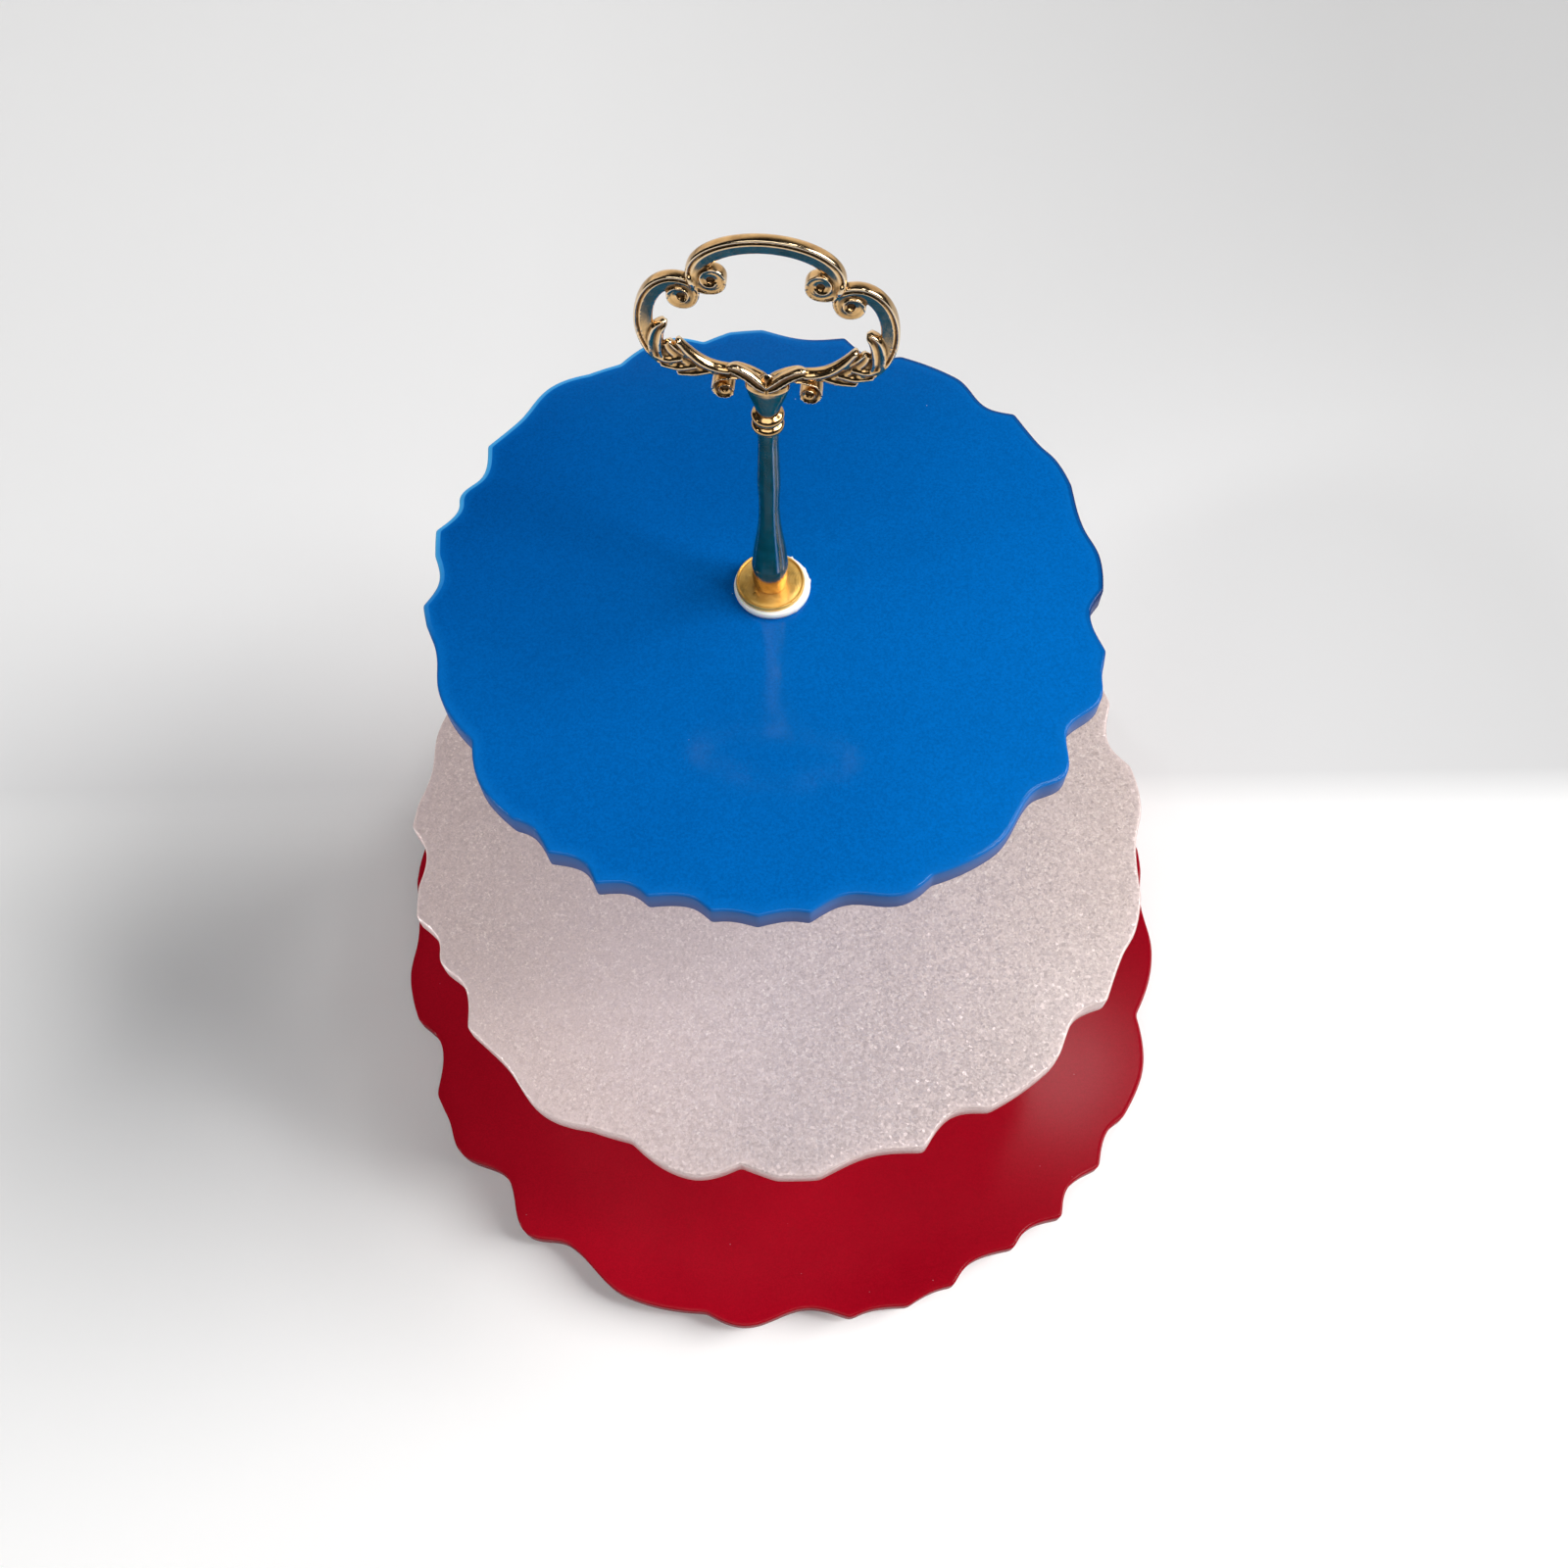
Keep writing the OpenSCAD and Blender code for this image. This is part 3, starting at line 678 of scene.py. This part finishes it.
# ---- Fixings and feet under the bottom board --------------------------------
def base_screw():
    """Pan-head screw: a domed head with a cross recess, and a threaded shank."""
    node, n = "base_screw", 96
    z0, z1 = low(node).z / MM, high(node).z / MM
    head_r, head_h, dome_h = 6.0, 2.6, 0.9
    recess, arm_half, arm_reach, arm_slope = 1.4, 0.85, 3.3, 0.3
    # The underside of the head, as rings from the middle of the recess outwards
    radii = [0.35, 0.7, 1.0, 1.5, 2.2, 2.9, 3.3, 3.9, 4.6, 5.2, 5.6, 5.85, head_r]
    verts = [(0, 0, recess)]
    for r in radii:
        dome = dome_h * (r / head_r) ** 4
        for x, y, z in circle(r, dome, n):
            near, far = sorted((abs(x), abs(y)))
            arm = max(min(arm_half - near, arm_reach - far) / arm_slope, 0.0)
            verts.append((x, y, z + min(arm, 1.0) * (recess - 0.28 * far)))
    faces = [(0, 1 + (j + 1) % n, 1 + j) for j in range(n)]
    faces += [f[::-1] for f in grid_faces(len(radii), n, 1)]
    side = len(verts)
    for r, z in ((head_r, head_h - 0.35), (5.7, head_h), (3.0, head_h)):
        verts += circle(r, z, n)
    faces += [f[::-1] for f in grid_faces(4, n, side - n)]
    shank, more = thread(z1 - z0 - head_h + 0.3)
    base = len(verts)
    verts = np.vstack([np.array(verts, float), shank + np.array([0, 0, head_h - 0.3])])
    faces += [tuple(k + base for k in f) for f in more]
    obj = mesh_object("BaseScrew", verts * MM + np.array(at_column(low(node).z)), faces, 35)
    finish_piece(obj, node, STEEL)


def base_washer():
    """Plain steel washer with its corners rounded."""
    node = "base_washer"
    t = height_mm(node)
    ring = [(3.2, 0.12), (3.32, 0), (8.75, 0), (8.93, 0.08), (9, 0.3), (9, t - 0.25),
            (8.85, t - 0.05), (8.7, t), (3.4, t), (3.2, t - 0.2)]
    verts, faces = lathe(ring, 96, at_column(low(node).z), closed=True)
    finish_piece(mesh_object("BaseWasher", verts, faces[::-1], 40), node, STEEL)


def foot(name, node):
    """Moulded rubber bumper: rounded rim, a shallow hollow with a ring in its base."""
    h = height_mm(node)
    rows = [(0, 0.75), (1.6, 0.75), (1.9, 0.62), (2.2, 0.35), (2.6, 0.35), (2.9, 0.6),
            (4.4, 0.6), (4.9, 0.45), (5.2, 0.1), (5.5, 0.0), (6.7, 0.0), (7.15, 0.1),
            (7.45, 0.4), (7.62, 1.0), (8.75, h - 1.0), (8.95, h - 0.7), (9.0, h - 0.3),
            (8.85, h), (0, h)]
    c = middle(node)
    verts, faces = lathe(rows, 72, (c.x, c.y, low(node).z))
    finish_piece(mesh_object(name, verts, faces, 40), node, RUBBER)


base_screw()
base_washer()
for i in (1, 2, 3, 4):
    foot(f"Foot{i}", f"foot_{i}")


# ---- Handle -----------------------------------------------------------------
# The loop is built flat in mm: x across, y up from the throat, d towards the front.
# Its pieces are closed shells, joined by a fine remesh as a casting would be.
THROAT_Z = 80.0                    # where y is 0, in mm above the foot of the handle
LOOP_TURN = math.radians(-6)       # how far the loop is turned round the column
VOXEL, FAIRING = 0.2, 4            # size in mm and smoothing rounds of the remesh
shell_verts, shell_faces = [], []


def add_shell(verts, faces, mirror=True):
    """Keep a shell for the remesh, with its mirror image on the left."""
    for side in ((1, -1) if mirror else (1,)):
        base = len(shell_verts)
        shell_verts.extend((v[0] * side, v[1], v[2]) for v in verts)
        for f in faces:
            f = tuple(k + base for k in f)
            shell_faces.append(f if side == 1 else f[::-1])


# Front halves of the bars' sections, as shares of half the width and half the depth
BAR = [(1.0, 0.0), (0.99, 0.55), (0.96, 0.84), (0.88, 0.98), (0.78, 1.0), (0.70, 0.90),
       (0.66, 0.60), (0.52, 0.52), (0.46, 0.72), (0.38, 0.88), (0.0, 0.76), (-0.5, 0.60),
       (-0.86, 0.46), (-0.97, 0.30), (-1.0, 0.0)]
LEAF = [(1.0, 0.0), (0.96, 0.55), (0.78, 0.92), (0.55, 1.0), (0.30, 0.82), (0.10, 0.62),
        (-0.12, 0.66), (-0.42, 0.86), (-0.72, 0.9), (-0.94, 0.5), (-1.0, 0.0)]
TONGUE = [(1.0, 0.0), (0.97, 0.5), (0.84, 0.86), (0.62, 1.0), (0.36, 0.86), (0.12, 0.62),
          (-0.12, 0.58), (-0.36, 0.72), (-0.60, 0.86), (-0.82, 0.78), (-0.95, 0.45), (-1.0, 0.0)]
TUBE = [(math.cos(math.radians(a)), math.sin(math.radians(a))) for a in range(0, 181, 18)]


def along_path(values, m):
    """One value, or a few spread evenly, at m points of a path."""
    values = np.atleast_1d(values)
    return np.interp(np.linspace(0, 1, m), np.linspace(0, 1, len(values)), values)


def sweep(path, width, depth, section, ends=(0.0, 0.0), lift=0.0):
    """Carry a section along a path. ends are the lengths over which each end rounds off."""
    p = np.array(path, float)
    m = len(p)
    width, depth, lift = (along_path(values, m) for values in (width, depth, lift))
    along = np.concatenate([[0], np.cumsum(np.linalg.norm(np.diff(p, axis=0), axis=1))])
    for size, s in ((ends[0], along), (ends[1], along[-1] - along)):
        if size:
            k = np.sqrt(np.clip(1 - np.clip(1 - s / size, 0, 1) ** 2, 0.02, 1))
            width, depth = width * k, depth * k
    d = np.gradient(p, axis=0)
    normal = np.stack([-d[:, 1], d[:, 0]], 1) / np.linalg.norm(d, axis=1)[:, None]
    ring = np.array(section + [(a, -b) for a, b in section[-2:0:-1]])
    c = len(ring)
    verts = []
    for i in range(m):
        for a, b in ring:
            q = p[i] + normal[i] * a * width[i] / 2
            verts.append((q[0], q[1], lift[i] + b * depth[i] / 2))
    faces = grid_faces(m, c)
    first, last = len(verts), len(verts) + 1
    verts += [(*p[0], lift[0]), (*p[-1], lift[-1])]
    faces += [(first, (j + 1) % c, j) for j in range(c)]
    faces += [(last, (m - 1) * c + j, (m - 1) * c + (j + 1) % c) for j in range(c)]
    add_shell(verts, faces)


def disc(centre, r_in, r_out, depth):
    """Flat ring or disc that faces the front, with its rim rounded and its inside sunk."""
    n = 40
    prof = [(r_out, depth / 2 - 0.45), (r_out - 0.15, depth / 2 - 0.12), (r_out - 0.5, depth / 2)]
    prof += [((r_in + r_out) / 2, depth / 2), (r_in, depth / 2 - 0.2)]
    ring = [(r, -d) for r, d in prof] + [(r, d) for r, d in prof[::-1]]
    verts = [(centre[0] + x, centre[1] + y, d) for r, level in ring
             for x, y, d in circle(r, level, n)]
    add_shell(verts, grid_faces(len(ring), n, close_rows=True))


# A scroll's bar by turns from its start: its outer radius and width in mm, for a scroll of
# SCROLL_R, and the widths of the thinner tendril
SCROLL_R = 3.45
TURN_AT = [0, 0.125, 0.25, 0.5, 0.75, 1.0, 1.25, 1.5]
TURN_OUT = [5.5, 4.75, 4.05, 3.5, 3.35, 2.5, 1.9, 1.4]
TURN_W = [4.4, 3.3, 2.5, 2.0, 1.7, 1.2, 1.0, 0.8]
TURN_THIN = [1.9, 1.7, 1.6, 1.5, 1.4, 1.2, 1.0, 0.8]


def volute(centre, radius, start_deg, way, turns=1.5, widths=TURN_W):
    """Centreline and widths of a bar that curls in from its start angle."""
    k = radius / SCROLL_R
    t = np.linspace(0, turns, int(turns * 40))
    w = np.interp(t, TURN_AT, widths) * k
    r = np.interp(t, TURN_AT, TURN_OUT) * k - w / 2
    a = np.radians(start_deg) + way * 2 * math.pi * t
    return np.stack([centre[0] + r * np.cos(a), centre[1] + r * np.sin(a)], 1), w


def ellipse(centre, half_w, half_h, start, end, n):
    a = np.radians(np.linspace(start, end, n))
    return np.stack([centre[0] + half_w * np.cos(a), centre[1] + half_h * np.sin(a)], 1)


def joined(path, curl):
    """The path and the scroll that goes on from its last point."""
    return np.vstack([path, curl[1:]])


CROWN_SCROLL, LOBE_SCROLL, LOW_SCROLL = (12.2, 35.9), (19.2, 30.7), (10.3, 1.4)
# Crown: from just past its middle, over the right side and into its scroll
arc = ellipse((0, 37), 15.7, 9.1, 96, -4, 40)
curl, curl_w = volute(CROWN_SCROLL, 3.5, 5, -1)
w = np.concatenate([np.full(len(arc), 4.5), curl_w[1:]])
deep = np.interp(np.arange(len(w)), [0, len(arc), len(w)], [2.6, 2.7, 3.4])
sweep(joined(arc, curl), w, deep, BAR, ends=(0, 0.6))
# Side lobe: out of its scroll, over and down its outer side to the bottom
curl, curl_w = volute(LOBE_SCROLL, 3.4, 104, 1)
arc = ellipse((20.5, 21.5), 8.0, 12.8, -62, 105, 44)
w = np.concatenate([np.full(len(arc), 4.4), curl_w[1:]])
deep = np.interp(np.arange(len(w)), [0, len(arc), len(w)], [2.8, 2.8, 3.6])
sweep(joined(arc, curl)[::-1], w[::-1], deep[::-1], BAR, ends=(0.6, 0))
for centre, r in ((CROWN_SCROLL, 3.0), (LOBE_SCROLL, 2.9), (LOW_SCROLL, 2.0)):
    disc(centre, 0.95, r, 2.4)
    disc(centre, 0.0, 1.4, 0.9)
# The bead where the two bars meet
sweep(spline([(17.3, 37.2), (16.6, 35.2), (16.0, 33.4)], 6), [1.6, 2.2, 1.4], [3.4, 4.0, 3.2],
      TUBE, ends=(0.8, 0.8))
# Low bar under the leaves, then the tendril that curls under it
low_bar = spline([(24.3, 10.2), (21.3, 7.9), (17.2, 6.7), (12.6, 6.6), (8.0, 6.6), (3.0, 4.0)], 8)
sweep(low_bar, [3.2, 2.8, 2.4, 2.2, 2.4], [2.8, 2.4, 2.4, 2.6, 3.0], TUBE)
curl, curl_w = volute(LOW_SCROLL, 2.5, 75, -1, 1.3, TURN_THIN)
tendril = spline([(6.6, 5.2), (8.6, 5.2), tuple(curl[0])], 8)
w = np.concatenate([np.linspace(1.6, curl_w[0], len(tendril)), curl_w[1:]])
sweep(joined(tendril, curl), w, 3.8, BAR, ends=(0.5, 0.5))
# Ridge leaf with a free tip, and the curled leaf outside it
sweep(spline([(8.2, 7.3), (11.8, 7.7), (15.2, 9.2), (18.5, 12.3), (21.3, 16.4)], 8),
      [2.0, 2.2, 2.4, 2.3, 1.6], [3.4, 3.4, 3.4, 3.2, 2.6], TUBE, ends=(0.8, 0.9))
sweep(spline([(25.2, 9.6), (26.3, 13.0), (26.2, 16.6), (25.2, 19.8), (23.2, 22.0)], 8),
      [2.6, 3.8, 4.0, 3.4, 1.7], [3.0, 3.6, 3.6, 3.4, 2.8], LEAF, ends=(1.0, 1.0))
# The broad blade between the ridge and the spurs
sweep(spline([(11.5, 6.9), (15.6, 8.2), (19.4, 10.4), (22.3, 13.2), (23.6, 15.8)], 8),
      [1.8, 2.8, 3.8, 3.4, 1.6], [2.6, 2.6, 2.6, 2.4, 2.0], LEAF, ends=(0.8, 1.0))
# Spurs that fan out along the lower side
for path, width in (
        ([(12.4, 7.2), (17.2, 6.0), (21.9, 5.4)], [1.8, 2.3, 1.5]),
        ([(16.4, 8.4), (21.0, 7.5), (25.8, 8.2)], [1.8, 2.5, 1.6]),
        ([(19.6, 10.6), (24.0, 10.0), (28.0, 12.2)], [1.8, 2.5, 1.6])):
    sweep(spline(path, 8), width, [2.8, 3.4, 2.6], TUBE, ends=(0.8, 0.8))
# The leaves that cross over the throat: one pair in front, and a lower pair at the back
for front, drop in ((1.0, 0.0), (-1.0, 1.0)):
    sweep(spline([(9.8, 8.3 - drop), (7.4, 8.2 - drop), (4.6, 6.7 - drop), (2.1, 4.7 - drop),
                  (-0.3, 2.9 - drop)], 8),
          [1.6, 2.6, 2.9, 2.8, 1.6], [2.4, 2.6, 2.8, 3.0, 2.8], TONGUE, ends=(1.6, 1.2),
          lift=[out * front for out in (0.3, 0.7, 1.0, 1.4, 1.6)])
# Throat: round at the collar, wider than it is deep under the leaves. Rows are half the width,
# half the depth, and y
n = 64
rows = [(2.7, 2.7, -9.0), (2.75, 2.75, -7.2), (3.0, 2.85, -6.0), (3.4, 2.9, -4.4),
        (3.9, 2.95, -2.8), (4.6, 2.95, -1.0), (5.1, 2.95, 0.8), (5.5, 2.85, 2.2), (5.4, 2.3, 3.4),
        (4.2, 1.6, 4.4), (2.2, 0.8, 5.0)]
verts = [(a * math.cos(2 * math.pi * j / n), y, b * math.sin(2 * math.pi * j / n))
         for a, b, y in rows for j in range(n)]
faces = [f[::-1] for f in grid_faces(len(rows), n)]
verts += [(0, -9.0, 0), (0, 6.3, 0)]
faces += [(len(verts) - 2, j, (j + 1) % n) for j in range(n)]
faces += [(len(verts) - 1, (len(rows) - 1) * n + (j + 1) % n, (len(rows) - 1) * n + j)
          for j in range(n)]
add_shell(verts, faces, mirror=False)


CAVITY_ROUNDS, CAVITY_SIZE = 14, 0.16 * MM
STEM_CAVITY = 0.14                 # the stem is toned a little darker than the loop
# Pale streaks painted down the stem as reflections: degrees from its front towards the right,
# half width, strength
STREAKS = ((27, 4, 1.0), (50, 3, 0.7), (-62, 4, 0.5), (128, 6, 0.5), (-140, 7, 0.6))
STREAKS_FROM, STREAKS_TO = 9.8, 66.5     # mm above the foot of the handle


def remeshed(verts, faces):
    """One closed skin round all the shells, as its points and quads."""
    tmp = bpy.data.meshes.new("loop_shells")
    tmp.from_pydata(verts, [], faces)
    obj = bpy.data.objects.new("loop_shells", tmp)
    bpy.context.scene.collection.objects.link(obj)
    skin = obj.modifiers.new("remesh", "REMESH")
    skin.mode, skin.voxel_size = "VOXEL", VOXEL
    fair = obj.modifiers.new("fair", "SMOOTH")
    fair.factor, fair.iterations = 0.5, FAIRING
    done = bpy.data.meshes.new_from_object(
        obj.evaluated_get(bpy.context.evaluated_depsgraph_get()))
    co = np.zeros(len(done.vertices) * 3)
    done.vertices.foreach_get("co", co)
    quads = [tuple(p.vertices) for p in done.polygons]
    bpy.data.objects.remove(obj)
    for mesh in (tmp, done):
        bpy.data.meshes.remove(mesh)
    return co.reshape(-1, 3), quads


def cavity_of(mesh):
    """How far each point lies below (1) or above (-1) its surroundings, by CAVITY_SIZE."""
    n = len(mesh.vertices)
    co = np.zeros(n * 3)
    mesh.vertices.foreach_get("co", co)
    co = co.reshape(-1, 3)
    edges = np.zeros(len(mesh.edges) * 2, int)
    mesh.edges.foreach_get("vertices", edges)
    a, b = edges.reshape(-1, 2).T
    count = np.bincount(a, minlength=n) + np.bincount(b, minlength=n)
    soft = co.copy()
    for _ in range(CAVITY_ROUNDS):
        total = np.stack([np.bincount(a, soft[b, k], n) + np.bincount(b, soft[a, k], n)
                          for k in range(3)], 1)
        soft = total / np.maximum(count, 1)[:, None]
    normals = np.zeros(n * 3)
    mesh.vertices.foreach_get("normal", normals)
    return np.clip(((soft - co) * normals.reshape(-1, 3)).sum(1) / CAVITY_SIZE, -1, 1)


def painted_streaks(points):
    """Thin pale streaks painted down the stem as reflections, from 0 to 1."""
    x, y, z = ((points - np.array(at_column(low("handle").z))) / MM).T
    angle = np.degrees(np.arctan2(x, -y))
    value = np.zeros(len(points))
    for at, width, strength in STREAKS:
        value += strength * np.exp(-((angle - at) / width) ** 2)
    return np.where((z > STREAKS_FROM) & (z < STREAKS_TO), value, 0.0)


def handle():
    """The remeshed loop, turned about the column, on its lathed stem."""
    node = "handle"
    z0 = low(node).z
    loop, quads = remeshed(shell_verts, shell_faces)
    x, y, d = loop.T
    c, s = math.cos(LOOP_TURN), math.sin(LOOP_TURN)
    loop = np.stack([COLUMN.x / MM + x * c + d * s, COLUMN.y / MM + x * s - d * c,
                     z0 / MM + THROAT_Z + y], 1) * MM
    rows = FOOT_BORE + stem_rows(waist_z=35, bulge_z=46, neck_z=62, collars=(68.7, 72.0))
    rows += [(2.6, 73.9), (0, 73.9)]
    stem, stem_faces = lathe(rows, 192, at_column(z0))
    verts = np.vstack([loop, stem])
    faces = quads + [tuple(k + len(loop) for k in f) for f in stem_faces]
    obj = mesh_object("Handle", verts, faces, 60)
    cavity = cavity_of(obj.data)
    cavity[len(loop):] = STEM_CAVITY
    point_values(obj, "cavity", cavity)
    # The stem carries the painted reflection streaks
    point_values(obj, "streak", np.concatenate([np.zeros(len(loop)), painted_streaks(stem)]))
    finish_piece(obj, node, GOLD)


handle()


# ---- Stage, light and camera ------------------------------------------------
WHITE, WALL_GREY, RIGHT_GREY = (1.0, 1.0, 1.0), (0.895, 0.895, 0.9), (0.725, 0.725, 0.73)
WALL_Y, WALL_TOP, COVE_R = 2.4, 2.9, 0.6     # metres
SKY_LIGHT, SKY_SEEN = 0.02, 0.75             # the world on the object, and more for the camera
# The camera's place from the column and the top board's face in metres, and its angles
CAMERA_BACK, CAMERA_UP, CAMERA_TILT, CAMERA_PAN = 0.24427, 0.36074, 26.5073, -0.9387
LENS, SENSOR = 33.75, 36                     # mm: 1500 pixels of focal length in 1600


def stage_material():
    """White floor, greyer towards the back and right, with a glow up the wall.

    The glow is only for the camera and for what metal and clear faces show."""
    m = Nodes("stage")
    x, y, z = m.split("ShaderNodeSeparateXYZ", m.coord)
    grey = m.ramp(m.math("ADD", x, 0.5), (0.35, WALL_GREY), (0.9, RIGHT_GREY))
    far = m.ramp(m.times(y, 8.0), (0.42, 0.0), (0.52, 0.16), (0.67, 1.0))
    tone = m.mix(far, WHITE, grey)
    tone = m.mix(m.times(m.noise(3, 2), 0.02), tone, (0.9, 0.9, 0.9))
    m.set(Base_Color=tone, Roughness=0.9, Specular_IOR_Level=0.0)
    path = m.add("ShaderNodeLightPath")
    seen = m.math("ADD", path.outputs["Is Camera Ray"], path.outputs["Is Glossy Ray"])
    seen = m.math("ADD", seen, path.outputs["Is Transmission Ray"], clamp=True)
    up = m.ramp(m.times(z, 0.33), (0.03, 0.0), (0.2, 0.9), (0.80, 0.85), (0.95, 0.05))
    m.set(Emission_Color=(0.86, 0.80, 0.74, 1), Emission_Strength=m.times(seen, up))
    return m.material


def cove():
    """Floor that curves up into a wall behind the object."""
    rows = [(y, 0.0) for y in (-3.0, -1.5, -0.8, -0.4, 0.0, 0.4, 0.8, 1.4, WALL_Y - COVE_R)]
    rows += [(WALL_Y - COVE_R + COVE_R * math.sin(math.radians(a)),
              COVE_R - COVE_R * math.cos(math.radians(a))) for a in range(10, 91, 10)]
    rows += [(WALL_Y, z) for z in (1.0, 1.6, 2.2, WALL_TOP)]
    across = np.linspace(-3.0, 3.0, 13)
    verts = [(x, y, z) for y, z in rows for x in across]
    n = len(across)
    faces = [(i * n + j, i * n + j + 1, (i + 1) * n + j + 1, (i + 1) * n + j)
             for i in range(len(rows) - 1) for j in range(n - 1)]
    obj = mesh_object("Stage", verts, faces, 60)
    obj.data.materials.append(stage_material())


def aimed(name, data, place, target):
    obj = bpy.data.objects.new(name, data)
    obj.location = place
    obj.rotation_euler = (Vector(target) - Vector(place)).to_track_quat("-Z", "Y").to_euler()
    bpy.context.scene.collection.objects.link(obj)


def sun(name, azimuth, height, spread, strength, colour):
    """Even light from far off. Azimuth, height and spread are in degrees."""
    data = bpy.data.lights.new(name, "SUN")
    data.energy, data.angle, data.color = strength, math.radians(spread), colour
    a, h = math.radians(azimuth), math.radians(height)
    aimed(name, data, (3 * math.cos(a) * math.cos(h), 3 * math.sin(a) * math.cos(h),
                       3 * math.sin(h)), (0, 0, 0))


def area_light(name, place, target, size, power):
    """White light from a rectangle of the size given, in metres."""
    data = bpy.data.lights.new(name, "AREA")
    data.shape = "RECTANGLE"
    data.size, data.size_y = size
    data.energy = power
    aimed(name, data, place, target)


def spot(name, place, target, cone, blend, power):
    """Light in a cone, whose angle is in degrees."""
    data = bpy.data.lights.new(name, "SPOT")
    data.energy, data.spot_size, data.spot_blend = power, math.radians(cone), blend
    data.shadow_soft_size = 0.12
    aimed(name, data, place, target)


cove()
sun("KeyLight", azimuth=5, height=37, spread=38, strength=3.0, colour=(1.0, 0.99, 0.975))
area_light("SideLight", (0.50, -0.20, 0.95), (0.06, -0.03, 0.2), (0.12, 0.28), power=2.1)
area_light("FillLight", (-0.25, -1.0, 2.3), (0, 0, 0.1), (1.8, 1.3), power=17)
area_light("HighLight", (0.449, 0.378, 1.65), (0.1, -0.1, 0), (0.15, 0.15), power=0.9)
# The spot fills the left of the boards, and leaves the floor beside them in shadow
spot("LeftLight", (-0.95, -0.34, 0.60), (-0.08, -0.02, 0.15), cone=20, blend=1.0, power=34)

world = bpy.data.worlds.new("World")
world.use_nodes = True
sky = world.node_tree.nodes["Background"]
sky.inputs[0].default_value = (0.9, 0.95, 1.0, 1)
seen = world.node_tree.nodes.new("ShaderNodeLightPath")
level = world.node_tree.nodes.new("ShaderNodeMath")
level.operation = "MULTIPLY_ADD"
level.inputs[1].default_value, level.inputs[2].default_value = SKY_SEEN, SKY_LIGHT
world.node_tree.links.new(seen.outputs["Is Camera Ray"], level.inputs[0])
world.node_tree.links.new(level.outputs[0], sky.inputs[1])
bpy.context.scene.world = world

camera_data = bpy.data.cameras.new("Camera")
camera_data.lens = LENS
camera_data.sensor_width = SENSOR
camera_data.clip_start = 0.01
camera = bpy.data.objects.new("Camera", camera_data)
camera.location = (COLUMN.x, COLUMN.y - CAMERA_BACK, high("top_board").z + CAMERA_UP)
camera.rotation_euler = (math.radians(CAMERA_TILT), 0, math.radians(CAMERA_PAN))
bpy.context.scene.collection.objects.link(camera)
bpy.context.scene.camera = camera

bpy.context.scene.view_settings.view_transform = "Standard"
